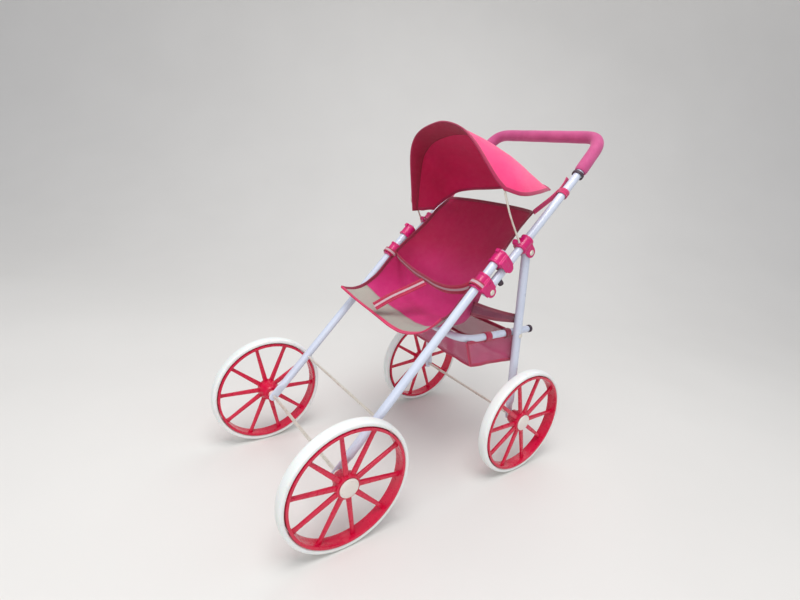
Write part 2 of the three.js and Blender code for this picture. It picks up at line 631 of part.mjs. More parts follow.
const BAND_FRONT = { y: 224, z: 298 };
const BAND_REAR = { y: 331, z: 268 };
const BAND_WIDTH = 17;
const bandAngle = Math.atan2(BAND_REAR.z - BAND_FRONT.z, BAND_REAR.y - BAND_FRONT.y);
const bandLength = Math.hypot(BAND_REAR.z - BAND_FRONT.z, BAND_REAR.y - BAND_FRONT.y);
const BAND_X = [102.2, 104];
const TIE_Y = 369;
const TIE_LOOP_HALF = 5;
const TIE_TAIL = 44;
for (const [name, side] of SIDES) {
  const band = slantedBox(
    bandAngle, BAND_FRONT.y, BAND_FRONT.z, BAND_X, [0, bandLength], [-BAND_WIDTH / 2, BAND_WIDTH / 2],
  );
  add(`stay_strap_${name}`, mirrored(band, side), "basket");

  const tieZ = handleLine(TIE_Y);
  const loopR = TUBE_R + STRAP_THICKNESS;
  const loop = sleeve(HANDLE_X, HANDLE_ANGLE, TIE_Y, tieZ, TIE_LOOP_HALF, TUBE_HOLE, loopR);
  const tail = slantedBox(
    HANDLE_ANGLE, TIE_Y, tieZ, [SEAT_HALF + STRAP_THICKNESS, HANDLE_X - TUBE_R - 0.5],
    [-TIE_TAIL, TIE_LOOP_HALF], [STRAP_THICKNESS, 2 * STRAP_THICKNESS],
  );
  add(`seat_tie_${name}`, mirrored(combine(loop, [tail]), side), "belt");
}

// ---------------------------------------------------------------- basket
/** A side-view outline of [y, z] points, made solid from x0 to x1. */
function sideSolid(outline, x0, x1) {
  const shape = new THREE.Shape(outline.map(([y, z]) => new THREE.Vector2(y, z)));
  const geometry = new THREE.ExtrudeGeometry(shape, { depth: x1 - x0, bevelEnabled: false });
  const basis = new THREE.Matrix4().makeBasis(
    new THREE.Vector3(0, 1, 0), new THREE.Vector3(0, 0, 1), new THREE.Vector3(1, 0, 0),
  );
  return geometry.applyMatrix4(basis).translate(x0, 0, 0);
}

const BASKET_TOP = SUPPORT_Z - SUPPORT_R - 0.6;
const BASKET_HALF = 103;
const BASKET_FRONT = { top: 222, bottom: 238, z: 203 };
const BASKET_REAR = { y: 335, z: 197 };

/** The basket's side outline, drawn in by `inset` everywhere but at the top. */
function basketOutline(inset) {
  const top = BASKET_TOP + (inset > 0 ? 1 : 0);
  return [
    [BASKET_FRONT.top + inset, top], [BASKET_FRONT.bottom + inset, BASKET_FRONT.z + inset],
    [BASKET_REAR.y - inset, BASKET_REAR.z + inset], [BASKET_REAR.y - inset, top],
  ];
}
const basketOuter = sideSolid(basketOutline(0), -BASKET_HALF, BASKET_HALF);
const basketInner = sideSolid(basketOutline(SHEET), SHEET - BASKET_HALF, BASKET_HALF - SHEET);
add("basket", combine(basketOuter, [], [basketInner]), "basket");

export default stroller;
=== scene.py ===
"""Doll stroller: fabric, moulded plastic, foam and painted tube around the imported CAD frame.

Metres, +Z up, the front faces -Y. Lengths are written in millimetres and turned into metres by MM or
at(); at() measures y from the front axle and z from the floor, as the frame was laid out.
"""

import math

import bmesh
import bpy
import numpy as np
from mathutils import Matrix, Vector, noise


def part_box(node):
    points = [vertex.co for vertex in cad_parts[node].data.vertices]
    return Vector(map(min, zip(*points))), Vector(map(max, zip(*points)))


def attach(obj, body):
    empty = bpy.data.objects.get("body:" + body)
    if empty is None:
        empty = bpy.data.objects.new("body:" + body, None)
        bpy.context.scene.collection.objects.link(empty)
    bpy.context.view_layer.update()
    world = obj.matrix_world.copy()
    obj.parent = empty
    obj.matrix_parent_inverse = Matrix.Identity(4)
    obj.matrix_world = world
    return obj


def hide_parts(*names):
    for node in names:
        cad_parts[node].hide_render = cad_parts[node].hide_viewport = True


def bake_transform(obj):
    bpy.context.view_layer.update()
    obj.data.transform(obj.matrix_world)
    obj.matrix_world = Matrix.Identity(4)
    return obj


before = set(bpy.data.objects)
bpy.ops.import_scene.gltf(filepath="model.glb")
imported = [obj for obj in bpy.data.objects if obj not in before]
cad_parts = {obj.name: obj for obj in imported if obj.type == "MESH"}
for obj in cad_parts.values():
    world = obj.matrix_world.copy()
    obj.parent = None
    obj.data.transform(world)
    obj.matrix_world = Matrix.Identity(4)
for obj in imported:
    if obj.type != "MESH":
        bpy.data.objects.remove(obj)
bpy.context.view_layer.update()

# ---------------------------------------- driving dimensions
MM = 0.001
SIDES = (("left", 1), ("right", -1))
ENDS = ("front", "rear")


def middle(node):
    """The centre of a CAD node's box, in metres."""
    low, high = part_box(node)
    return (low + high) / 2


FRONT_AXLE = middle("front_axle")
REAR_AXLE = middle("rear_axle")
WHEEL_R = FRONT_AXLE.z / MM
WHEELBASE = (REAR_AXLE.y - FRONT_AXLE.y) / MM

TUBE_R = 6.5
LEG_X = 113
LEG_ANGLE = math.radians(48.9)
LEG_TOP_Y = 257
HANDLE_X = 116
HANDLE_ANGLE = math.radians(47.2)
HANDLE_BEND = (400, 513.3)
HANDLE_BAR = (446, 571.5)
HANDLE_CORNER_R = 32
GRIP_R = 10
FOLD_Y = 232
REAR_BRACKET_Y = 296
REAR_PIVOT_DROP = 18
REAR_LEG_R = 7
SUPPORT_R = 6
SUPPORT_X = 99.6
SUPPORT_Z = 248
SUPPORT_FRONT_Y = 214
SUPPORT_REAR_Y = 370
SUPPORT_CORNER_R = 36
BOW_R = 1.5


def at(x, y, z):
    """A point in metres, from millimetres across, behind the front axle and above the floor."""
    return np.array([x * MM, FRONT_AXLE.y + y * MM, z * MM])


def leg_z(y):
    """The height of the front legs' centreline."""
    return WHEEL_R + y * math.tan(LEG_ANGLE)


def handle_z(y):
    """The height of the handle tubes' centreline."""
    return HANDLE_BEND[1] + (y - HANDLE_BEND[0]) * math.tan(HANDLE_ANGLE)


def offset(angle, y, z, u, w):
    """The (y, z) at u along and w above a line at that angle."""
    return (y + u * math.cos(angle) - w * math.sin(angle), z + u * math.sin(angle) + w * math.cos(angle))


REAR_PIVOT = offset(HANDLE_ANGLE, REAR_BRACKET_Y, handle_z(REAR_BRACKET_Y), 0, -REAR_PIVOT_DROP)
BOW_PIVOT_SHIFT = (-8, 13)
BOW_PIVOT = offset(HANDLE_ANGLE, REAR_BRACKET_Y, handle_z(REAR_BRACKET_Y), *BOW_PIVOT_SHIFT)
REAR_LEG_ANGLE = math.atan2(REAR_PIVOT[1] - WHEEL_R, REAR_PIVOT[0] - WHEELBASE)
FOLD_SPACING = (leg_z(FOLD_Y) - handle_z(FOLD_Y)) * math.cos(LEG_ANGLE)


# ---------------------------------------- materials
def colour(red, green, blue):
    """A linear colour from 0-255 screen values."""
    shares = (c / 255 for c in (red, green, blue))
    return tuple(((c + 0.055) / 1.055) ** 2.4 if c > 10 / 255 else c / 12.92 for c in shares)


def scaled(base, factor, lift=0.0):
    """A colour made lighter or darker."""
    return tuple(min(1, c * factor + lift) for c in base)


class Nodes:
    """A material's node tree, with short ways to add to it."""

    def __init__(self, name, roughness=0.5, **sockets):
        self.material = bpy.data.materials.new(name)
        self.material.use_nodes = True
        self.tree = self.material.node_tree
        self.shader = self.tree.nodes["Principled BSDF"]
        self.set("Roughness", roughness)
        for key, value in sockets.items():
            self.set(key.replace("_", " "), value)

    def set(self, socket, value):
        """A value or another node's output for one of the shader's sockets."""
        target = self.shader.inputs[socket]
        if isinstance(value, bpy.types.NodeSocket):
            self.tree.links.new(value, target)
        elif isinstance(value, tuple) and len(value) == 3 and socket != "Normal":
            target.default_value = (*value, 1)
        else:
            target.default_value = value

    def add(self, kind, output=0, settings=(), **inputs):
        """A new node's output, with its inputs given by name or by i0, i1 and so on."""
        made = self.tree.nodes.new("ShaderNode" + kind)
        for key, value in dict(settings).items():
            setattr(made, key, value)
        for key, value in inputs.items():
            index = int(key[1:]) if key[0] == "i" and key[1:].isdigit() else key.replace("_", " ")
            target = made.inputs[index]
            if isinstance(value, bpy.types.NodeSocket):
                self.tree.links.new(value, target)
            elif isinstance(value, tuple) and len(value) == 3 and target.type == "RGBA":
                target.default_value = (*value, 1)
            else:
                target.default_value = value
        return made.outputs[output]

    def math(self, operation, first, second=0.0):
        return self.add("Math", settings={"operation": operation}, i0=first, i1=second)

    def times(self, first, second):
        return self.math("MULTIPLY", first, second)

    def rest_of(self, share):
        """What a share leaves of 1."""
        return self.math("SUBTRACT", 1.0, share)

    def split(self, vector):
        """A vector's x, y and z."""
        return self.add("SeparateXYZ", Vector=vector).node.outputs

    def mix(self, factor, first, second):
        """A mix of two colours."""
        return self.add("Mix", 2, {"data_type": "RGBA"}, i0=factor, i6=first, i7=second)

    def ramp(self, value, low, high, start=0.0, end=1.0):
        """The value's stretch from low to high, spread over start to end."""
        return self.add("MapRange", Value=value, From_Min=low, From_Max=high, To_Min=start, To_Max=end)

    def place(self):
        return self.add("TexCoord", "Object")

    def cloth(self):
        """The sheet's own coordinates, in metres along its threads."""
        return self.add("UVMap", settings={"uv_map": "cloth"})

    def noise(self, scale, detail=3.0):
        return self.add("TexNoise", "Fac", Vector=self.place(), Scale=scale, Detail=detail)

    def cells(self, scale):
        return self.add("TexVoronoi", "Distance", Vector=self.place(), Scale=scale)

    def rough(self, low, high, scale, detail=3.0):
        """Roughness that drifts between two values over the piece."""
        self.set("Roughness", self.ramp(self.noise(scale, detail), 0.3, 0.7, low, high))

    def bump(self, height, distance, strength=1.0):
        self.set("Normal", self.add("Bump", Height=height, Distance=distance, Strength=strength))


def shaded(nodes, base, light, dark, scale, amount=0.35):
    """A base colour that drifts towards a lighter and a darker one over the piece."""
    drift = nodes.noise(scale, 4.0)
    towards = nodes.mix(nodes.ramp(drift, 0.5, 0.8, 0, amount), base, light)
    return nodes.mix(nodes.ramp(drift, 0.5, 0.2, 0, amount), towards, dark)


def painted_tube():
    n = Nodes("painted_tube", Coat_Weight=0.6, Coat_Roughness=0.08)
    base = shaded(n, colour(203, 211, 228), colour(222, 228, 240), colour(180, 188, 210), 9)
    scuffs = n.ramp(n.noise(160, 6.0), 0.68, 0.76)
    n.set("Base Color", n.mix(n.times(scuffs, 0.35), base, colour(150, 150, 158)))
    n.rough(0.24, 0.38, 60)
    n.bump(n.noise(420, 2.0), 0.00006, 0.5)
    return n.material


def zinc_wire():
    n = Nodes("zinc_wire", Metallic=0.55)
    base = shaded(n, colour(226, 220, 208), colour(242, 238, 230), colour(178, 170, 156), 120, 0.5)
    n.set("Base Color", base)
    n.rough(0.25, 0.5, 300, 5.0)
    n.bump(n.noise(900, 2.0), 0.00005, 0.6)
    return n.material


def tyre_foam():
    n = Nodes("tyre_foam", Subsurface_Weight=0.08, Subsurface_Scale=0.002)
    base = shaded(n, colour(232, 236, 234), colour(242, 244, 242), colour(214, 216, 212), 22)
    dust = n.ramp(n.noise(70, 7.0), 0.6, 0.78)
    n.set("Base Color", n.mix(n.times(dust, 0.3), base, colour(196, 190, 178)))
    n.rough(0.42, 0.62, 180, 4.0)
    n.bump(n.cells(1400), 0.00012, 0.35)
    return n.material


def gloss_plastic(name, tones, roughness=0.22):
    n = Nodes(name, Coat_Weight=0.2, Coat_Roughness=0.14, Subsurface_Weight=0.05, Subsurface_Scale=0.002)
    n.set("Base Color", shaded(n, *(colour(*tone) for tone in tones), 35))
    n.rough(roughness, roughness + 0.14, 90, 5.0)
    n.bump(n.noise(260), 0.00012, 0.5)
    return n.material


def dark_plastic():
    n = Nodes("dark_plastic")
    n.set("Base Color", shaded(n, colour(66, 50, 62), colour(92, 78, 88), colour(40, 30, 38), 80))
    n.rough(0.45, 0.65, 200, 4.0)
    n.bump(n.cells(900), 0.00008, 0.5)
    return n.material


def grip_foam():
    n = Nodes("grip_foam", Sheen_Weight=0.35, Sheen_Roughness=0.5, Sheen_Tint=(0.9, 0.55, 0.7))
    base = shaded(n, colour(186, 72, 126), colour(214, 100, 150), colour(150, 52, 100), 30, 0.5)
    pores = n.ramp(n.cells(850), 0.0, 0.35)
    # painted shade: darker in the hollows of the pores
    n.set("Base Color", n.mix(n.times(n.rest_of(pores), 0.35), base, colour(120, 36, 78)))
    n.rough(0.62, 0.82, 150)
    n.bump(pores, 0.00035, 0.5)
    return n.material


THREAD_PITCH = 0.0011


def thread_height(n, pitch):
    """A plain weave's height, from the sheet's own coordinates, for threads that are pitch metres apart."""
    sines = [n.math("SINE", n.times(along, math.pi / pitch)) for along in n.split(n.cloth())[:2]]
    over = n.ramp(n.times(*sines), -0.15, 0.15)
    warp, weft = (n.math("ABSOLUTE", sine) for sine in sines)
    return n.math("ADD", n.times(warp, over), n.times(weft, n.rest_of(over)))


def woven(name, tones, pitch=THREAD_PITCH, sheen=0.35, glow=0.0):
    """Woven cloth whose colour drifts over the sheet, with painted shade darkening the gaps between the
    threads.
    """
    base, light, dark = (colour(*tone) for tone in tones)
    n = Nodes(name, Sheen_Weight=sheen, Sheen_Roughness=0.45, Subsurface_Weight=glow, Subsurface_Scale=0.003)
    weave = thread_height(n, pitch)
    drift = shaded(n, base, light, dark, 14, 0.45)
    # painted shade: the colour darkens where the weave is low, in the gaps between the threads
    n.set("Base Color", n.mix(n.ramp(weave, 0.1, 0.9, 0.32, 0.0), drift, dark))
    n.rough(0.62, 0.85, 120, 4.0)
    n.bump(n.math("ADD", weave, n.times(n.noise(260, 4.0), 0.8)), pitch * 0.22, 0.7)
    return n.material


def seat_cloth():
    """The seat's cloth: woven pink, turned crimson higher up as painted shade under the hood, with painted
    shade in the gaps between the threads, and grey in front of the seam that the panel attribute marks.
    """
    n = Nodes("seat_cloth", Sheen_Weight=0.14, Sheen_Roughness=0.45)
    weave = thread_height(n, THREAD_PITCH)
    pink = shaded(n, colour(204, 34, 116), colour(230, 62, 144), colour(164, 20, 84), 12, 0.5)
    # painted shade: the cloth darkens from pink to crimson with height, where the seat's back lies under the
    # hood
    shaded_crimson = shaded(n, colour(182, 8, 74), colour(204, 18, 92), colour(150, 4, 56), 12, 0.5)
    grey = shaded(n, colour(172, 172, 160), colour(196, 196, 184), colour(136, 136, 126), 12, 0.5)
    pink_and_shaded_back = n.mix(n.ramp(n.split(n.place())[2], 0.29, 0.37), pink, shaded_crimson)
    panel = n.add("Attribute", "Fac", {"attribute_name": "panel"})
    base = n.mix(n.ramp(panel, -0.0004, 0.0004), pink_and_shaded_back, grey)
    # painted shade: darker in the gaps between the threads
    threads = n.mix(n.ramp(weave, 0.1, 0.9, 0.3, 0.0), base, colour(92, 20, 48))
    seam = n.ramp(n.math("ABSOLUTE", n.math("SUBTRACT", panel, 0.0012)), 0.0, 0.0012)
    n.set("Base Color", n.mix(n.times(n.rest_of(seam), 0.6), threads, colour(120, 20, 60)))
    n.rough(0.62, 0.85, 120, 4.0)
    surface = n.math("ADD", weave, n.times(n.noise(240, 4.0), 0.9))
    n.bump(n.math("ADD", surface, n.times(seam, 2.5)), 0.00025, 0.7)
    return n.material


def stitches(n, across, along, line, pitch=0.0035, width=0.0005):
    """1 on the stitches of a sewn line at that distance across the tape, otherwise 0."""
    near = n.math("LESS_THAN", n.math("ABSOLUTE", n.math("SUBTRACT", across, line)), width)
    dash = n.math("LESS_THAN", n.math("FRACT", n.math("DIVIDE", along, pitch)), 0.62)
    return n.times(near, dash)


def tape(name, edge, width=0.008, centre=None, stripe_half=0.0):
    """Woven tape with its own coordinates across (0 at the middle) and along, stitches, painted shade between
    its ribs, and maybe a stripe.
    """
    n = Nodes(name, Sheen_Weight=0.3, Sheen_Roughness=0.5)
    centre = centre or edge
    across, along = n.split(n.cloth())[:2]
    off = n.math("ABSOLUTE", across)
    ribs = n.math("ABSOLUTE", n.math("SINE", n.times(along, math.pi / 0.0012)))
    edge_mix = shaded(n, edge, scaled(edge, 1.4), scaled(edge, 0.6), 60)
    centre_mix = shaded(n, centre, scaled(centre, 1.15), scaled(centre, 0.7), 90)
    base = n.mix(n.math("LESS_THAN", off, stripe_half), edge_mix, centre_mix)
    # painted shade: darker in the grooves between the ribs
    base = n.mix(n.ramp(ribs, 0.0, 0.6, 0.35, 0.0), base, scaled(edge, 0.45))
    sewn = stitches(n, off, along, width / 2 - 0.0018)
    n.set("Base Color", n.mix(n.times(sewn, 0.7), base, scaled(edge, 1.9, 0.02)))
    n.rough(0.6, 0.8, 200)
    n.bump(n.math("ADD", ribs, n.times(sewn, 1.5)), 0.00025, 0.7)
    return n.material


def netting(name, thread, pitch, open_share):
    """Knitted mesh with real holes."""
    n = Nodes(name, Sheen_Weight=0.2, Sheen_Roughness=0.5)
    across, along = n.split(n.cloth())[:2]
    diagonal = [
        n.math("SINE", n.times(n.math(operation, across, along), math.pi / pitch))
        for operation in ("ADD", "SUBTRACT")
    ]
    depth = n.math("ABSOLUTE", n.times(*diagonal))
    n.set("Base Color", shaded(n, thread, scaled(thread, 1.5), scaled(thread, 0.6), 40))
    n.rough(0.55, 0.75, 200)
    n.set("Alpha", n.ramp(n.math("LESS_THAN", depth, open_share), 0, 1, 0.12, 1.0))
    n.bump(n.rest_of(depth), 0.0003, 0.6)
    return n.material


STRAP_WIDTH = 16 * MM
CRIMSON = colour(170, 10, 62)
TAPE_GREY = colour(196, 166, 174)
M = {
    "frame": painted_tube(),
    "zinc": zinc_wire(),
    "tyre": tyre_foam(),
    "wheel": gloss_plastic("wheel_plastic", [(206, 6, 60), (226, 18, 78), (172, 4, 46)]),
    "cap": gloss_plastic("cap_plastic", [(228, 220, 212), (240, 234, 228), (204, 194, 188)], 0.32),
    "clip": gloss_plastic("clip_plastic", [(206, 16, 108), (232, 48, 140), (150, 8, 76)], 0.26),
    "dark_plastic": dark_plastic(),
    "grip_foam": grip_foam(),
    "canopy_fabric": woven("canopy_outer", [(246, 50, 122), (255, 92, 152), (212, 28, 96)], glow=0.04),
    # the lining's own deeper pink, darkened further as painted shade inside the hood
    "canopy_lining_and_painted_shade": woven("canopy_lining_and_painted_shade", [(204, 8, 84), (220, 20, 102), (164, 4, 62)], sheen=0.1),
    # the facing, coloured darker than the lining: painted shade along the hood's front edge
    "canopy_facing_and_painted_shade": woven("canopy_facing_and_painted_shade", [(158, 6, 58), (176, 14, 72), (122, 4, 42)], sheen=0.1),
    "canopy_binding": woven("canopy_binding", [(168, 16, 74), (190, 34, 96), (120, 8, 50)], 0.0014),
    "seat_fabric": seat_cloth(),
    "binding": tape("seat_binding", colour(206, 28, 88)),
    "dark_binding": tape("dark_binding", colour(128, 8, 50)),
    "belt": tape("belt_tape", CRIMSON, STRAP_WIDTH, TAPE_GREY, 0.0020),
    "tie": tape("tie_tape", colour(196, 34, 96), 0.010),
    "mesh": netting("basket_net", colour(196, 74, 120), 0.0026, 0.36),
    "band_mesh": netting("band_net", colour(130, 44, 76), 0.0020, 0.55),
    "basket_binding": tape("basket_binding", colour(168, 16, 66)),
}


# ---------------------------------------- mesh helpers
def spline(points, count):
    """count points along a smooth curve through the given ones, evenly spaced by length."""
    p = np.array(points, float)
    p = np.vstack([2 * p[0] - p[1], p, 2 * p[-1] - p[-2]])
    fine = []
    for i in range(1, len(p) - 2):
        t = np.linspace(0, 1, 24, endpoint=False)[:, None]
        a, b, c, d = p[i - 1], p[i], p[i + 1], p[i + 2]
        fine.append(0.5 * (2 * b + (c - a) * t + (2 * a - 5 * b + 4 * c - d) * t**2
                           + (3 * b - a - 3 * c + d) * t**3))
    return resampled(np.vstack([*fine, p[-2][None]]), count)


def lengths(line):
    """How far along a line each of its points lies."""
    return np.concatenate([[0], np.cumsum(np.linalg.norm(np.diff(line, axis=0), axis=1))])


def unit(vectors):
    """The vectors, each made 1 long."""
    return vectors / np.linalg.norm(vectors, axis=-1)[..., None]


def resampled(line, count):
    """The line with count points, evenly spaced."""
    run = lengths(line)
    where = np.linspace(0, run[-1], count)
    return np.stack([np.interp(where, run, line[:, k]) for k in range(line.shape[1])], axis=1)


def rounded_path(corners, radius, step=2.0 * MM):
    """Straight runs joined by arcs of that radius, all in metres."""
    corners = [np.array(c, float) for c in corners]
    line = [corners[0]]
    for i in range(1, len(corners) - 1):
        before, here, after = corners[i - 1], corners[i], corners[i + 1]
        start = here + (before - here) / np.linalg.norm(before - here) * radius
        end = here + (after - here) / np.linalg.norm(after - here) * radius
        t = np.linspace(0, 1, 14)[:, None]
        line += list((1 - t) ** 2 * start + 2 * t * (1 - t) * here + t**2 * end)
    line.append(corners[-1])
    line = np.array(line)
    length = np.linalg.norm(np.diff(line, axis=0), axis=1).sum()
    return resampled(line, max(8, int(length / step)))


def carried_sides(line, hint):
    """Two directions square to the line at each point, the first kept near hint."""
    tangents = unit(np.gradient(line, axis=0))
    first = []
    side = np.array(hint, float)
    for t in tangents:
        side = side - t * (side @ t)
        side /= np.linalg.norm(side)
        first.append(side)
    first = np.array(first)
    return first, np.cross(tangents, first)


def new_object(name, data):
    made = bpy.data.objects.new(name, data)
    bpy.context.scene.collection.objects.link(made)
    return made


def smooth(mesh, sharp):
    """Shades a mesh smooth, with creases sharper than that angle kept."""
    mesh.shade_smooth()
    mesh.set_sharp_from_angle(angle=math.radians(sharp))


def new_mesh(name, verts, faces, materials, uvs=None):
    """A mesh; uvs holds one (u, v) for each vertex, in metres."""
    mesh = bpy.data.meshes.new(name)
    mesh.from_pydata([tuple(v) for v in verts], [], faces)
    if uvs is not None:
        layer = mesh.uv_layers.new(name="cloth")
        which = np.zeros(len(mesh.loops), np.int32)
        mesh.loops.foreach_get("vertex_index", which)
        layer.data.foreach_set("uv", np.array(uvs, np.float32)[which].ravel())
    for material in materials:
        mesh.materials.append(material)
    return mesh


def piece(name, verts, faces, material, uvs=None, sharp=35):
    """A closed object, with every face turned outwards."""
    mesh = new_mesh(name, verts, faces, [material], uvs)
    bm = bmesh.new()
    bm.from_mesh(mesh)
    bmesh.ops.remove_doubles(bm, verts=bm.verts, dist=1e-7)
    bmesh.ops.recalc_face_normals(bm, faces=bm.faces)
    bm.to_mesh(mesh)
    bm.free()
    smooth(mesh, sharp)
    return new_object(name, mesh)


def ring_faces(count, sides, closed):
    """The faces of count rings joined into a tube, which is a loop or has a cap at each end."""
    faces = []
    for i in range(count if closed else count - 1):
        j = (i + 1) % count
        for k in range(sides):
            m = (k + 1) % sides
            faces.append((i * sides + k, i * sides + m, j * sides + m, j * sides + k))
    if not closed:
        faces.append(tuple(range(sides - 1, -1, -1)))
        faces.append(tuple((count - 1) * sides + k for k in range(sides)))
    return faces


def skin(name, line, first, second, section, material, closed=False):
    """Sections joined along a line: section(t), t from 0 to 1, gives (a, b) points along first and second."""
    count = len(line)
    run = lengths(line)
    rings = []
    uvs = []
    for i in range(count):
        outline = np.array(section(i / (count - 1)), float)
        rings.append(line[i] + outline[:, :1] * first[i] + outline[:, 1:] * second[i])
        uvs += [(a, run[i]) for a, _ in outline]
    return piece(name, np.vstack(rings), ring_faces(count, len(rings[0]), closed), material, uvs)


def sweep(name, line, section, material, hint=(1, 0, 0), closed=False):
    """A section carried along a line, with its a axis kept near hint."""
    return skin(name, line, *carried_sides(line, hint), section, material, closed)


def circle(radius, sides=28):
    turn = np.linspace(0, 2 * math.pi, sides, endpoint=False)
    return [(radius * math.cos(a), radius * math.sin(a)) for a in turn]


def tube(name, line, radius, material, sides=28, hint=(1, 0, 0)):
    """A round tube whose ends are rounded over."""
    count = len(line)
    soft = min(3, count // 4)
    ends = [0.72, 0.93, 1.0]

    def section(t):
        i = round(t * (count - 1))
        from_end = min(i, count - 1 - i)
        return circle(radius * (ends[from_end] if from_end < soft else 1.0), sides)

    return sweep(name, line, section, material, hint)


def signed_power(value, power):
    return np.sign(value) * abs(value) ** power


def flat_section(width, thickness, sides=16):
    """A flat tape's section, with round edges."""
    turn = np.linspace(0, 2 * math.pi, sides, endpoint=False)
    return [
        (width / 2 * signed_power(math.cos(a), 0.35), thickness / 2 * signed_power(math.sin(a), 0.8))
        for a in turn
    ]


def webbing(name, line, width, thickness, material, hint, closed=False):
    """Flat tape along a line of points, lying with its width near hint."""
    return sweep(name, np.array(line), lambda t: flat_section(width, thickness), material, hint, closed)


def revolved(name, outline, material, segments=128, sharp=35):
    """A closed outline of (radius, x) points turned about the X axis, both in millimetres."""
    rings = []
    for a in np.linspace(0, 2 * math.pi, segments, endpoint=False):
        rings += [(x * MM, r * MM * math.cos(a), r * MM * math.sin(a)) for r, x in outline]
    made = piece(name, rings, ring_faces(segments, len(outline), True), material, sharp=sharp)
    bm = bmesh.new()
    bm.from_mesh(made.data)
    bmesh.ops.dissolve_degenerate(bm, dist=1e-7, edges=bm.edges)
    bm.to_mesh(made.data)
    bm.free()
    made.data.set_sharp_from_angle(angle=math.radians(sharp))
    return made


def settle(obj):
    """Applies an object's modifiers to its mesh."""
    bpy.context.view_layer.update()
    mesh = bpy.data.meshes.new_from_object(obj.evaluated_get(bpy.context.evaluated_depsgraph_get()))
    obj.modifiers.clear()
    obj.data = mesh
    return obj


def cut(base, others, operation):
    """Joins or cuts other closed objects, which are used up."""
    for other in others:
        modifier = base.modifiers.new("cut", "BOOLEAN")
        modifier.operation = operation
        modifier.solver = "MANIFOLD"
        modifier.object = other
    settle(base)
    for other in others:
        bpy.data.objects.remove(other)
    return base


def copy_of(source, name, matrix):
    """Another object with the same mesh, moved by the matrix; a mirrored one has its faces turned back."""
    mesh = source.data.copy()
    mesh.transform(matrix)
    if matrix.determinant() < 0:
        mesh.flip_normals()
    return new_object(name, mesh)


def stands(obj, body, nodes):
    """The piece rides on a body and stands for those CAD nodes."""
    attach(obj, body)
    if nodes:
        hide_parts(*nodes)
    return obj


def grid_piece(name, grid, materials, thickness, panel=None):
    """A sheet from a rows x columns x 3 grid, whose materials are its outer face, inner face and rim."""
    rows, columns = grid.shape[:2]
    along = np.linalg.norm(np.diff(grid, axis=0), axis=2).mean(axis=1)
    across = np.linalg.norm(np.diff(grid, axis=1), axis=2)
    v = np.concatenate([[0], np.cumsum(along)])
    uvs = []
    for i in range(rows):
        u = np.concatenate([[0], np.cumsum(across[i])])
        uvs += [(x - u[-1] / 2, v[i]) for x in u]
    faces = [
        (i * columns + j, i * columns + j + 1, (i + 1) * columns + j + 1, (i + 1) * columns + j)
        for i in range(rows - 1) for j in range(columns - 1)
    ]
    mesh = new_mesh(name, grid.reshape(-1, 3), faces, materials, uvs)
    if panel is not None:
        held = mesh.attributes.new("panel", "FLOAT", "POINT")
        held.data.foreach_set("value", np.array(panel, np.float32).ravel())
    mesh.shade_smooth()
    made = new_object(name, mesh)
    finer = made.modifiers.new("finer", "SUBSURF")
    finer.levels = finer.render_levels = 1
    solid = made.modifiers.new("cloth", "SOLIDIFY")
    solid.thickness = thickness
    solid.offset = 0
    solid.material_offset = 1 if len(materials) > 1 else 0
    solid.material_offset_rim = 2 if len(materials) > 2 else solid.material_offset
    return settle(made)


def binding(name, edge, inward, width, thickness, material):
    """Tape folded over a sheet's edge: inward points from each edge point into the sheet."""
    line = edge + inward * (width * 0.34)
    tangents = unit(np.gradient(line, axis=0))
    side = unit(inward - tangents * (inward * tangents).sum(1)[:, None])
    outline = flat_section(width, thickness, 14)
    return skin(name, line, side, np.cross(tangents, side), lambda t: outline, material)


def inward_of(grid, edge):
    """The edge's points and the unit directions from it into the sheet."""
    outer, inner = {
        "first_row": (grid[0], grid[1]), "last_row": (grid[-1], grid[-2]),
        "first_column": (grid[:, 0], grid[:, 1]), "last_column": (grid[:, -1], grid[:, -2]),
    }[edge]
    return outer, unit(inner - outer)


# ---------------------------------------- wheels
TYRE_MIDDLE_R = 90.95
SPOKE_COUNT = 10
SPOKE_RADII = (14, 84.5)
SPOKE_HALF = (4.0, 2.5)
SPOKE_TURN = {"front_left": 10.5, "front_right": 15.5, "rear_left": 17, "rear_right": 23}


def tyre_outline():
    """A soft, almost round section, as (radius, x)."""
    turn = np.linspace(0, 2 * math.pi, 40, endpoint=False)
    return [
        (TYRE_MIDDLE_R + 4 * signed_power(math.sin(a), 0.62), 8.5 * signed_power(math.cos(a), 0.75))
        for a in turn
    ]


def spoke_section(t):
    """A spoke narrows outwards, and flares where it meets the rim."""
    half = SPOKE_HALF[0] + (SPOKE_HALF[1] - SPOKE_HALF[0]) * t + 1.6 * math.exp(-(((1 - t) * 24) ** 2) / 3)
    return [(a * 2.5 * MM, b * half * MM) for a, b in rounded_square()]


def wheel_solid():
    """The one-piece wheel, centred on its axle, from outlines of (radius, x)."""
    rim = revolved("rim", [(82.8, -8), (83, -8.8), (83.6, -9), (86.6, -9), (86.6, 9), (83.6, 9), (83, 8.8),
                           (82.8, 8), (83.4, 3), (83.4, -3)], M["wheel"])
    hub = revolved("hub", [(2.8, -20), (11.4, -20), (12, -19.4), (13.2, -14), (17.2, -8), (17.6, 0),
                           (17.2, 4.4), (16.4, 5), (14.8, 5), (14.6, 4.6), (2.8, 4.6)], M["wheel"], 64)
    line = np.stack([np.zeros(24), np.zeros(24), np.linspace(*SPOKE_RADII, 24)], axis=1) * MM
    spokes = []
    for i in range(SPOKE_COUNT):
        made = sweep("spoke", line, spoke_section, M["wheel"])
        made.data.transform(Matrix.Rotation(2 * math.pi * i / SPOKE_COUNT, 4, "X"))
        spokes.append(made)
    wheel = cut(rim, [hub, *spokes], "UNION")
    smooth(wheel.data, 38)
    return wheel


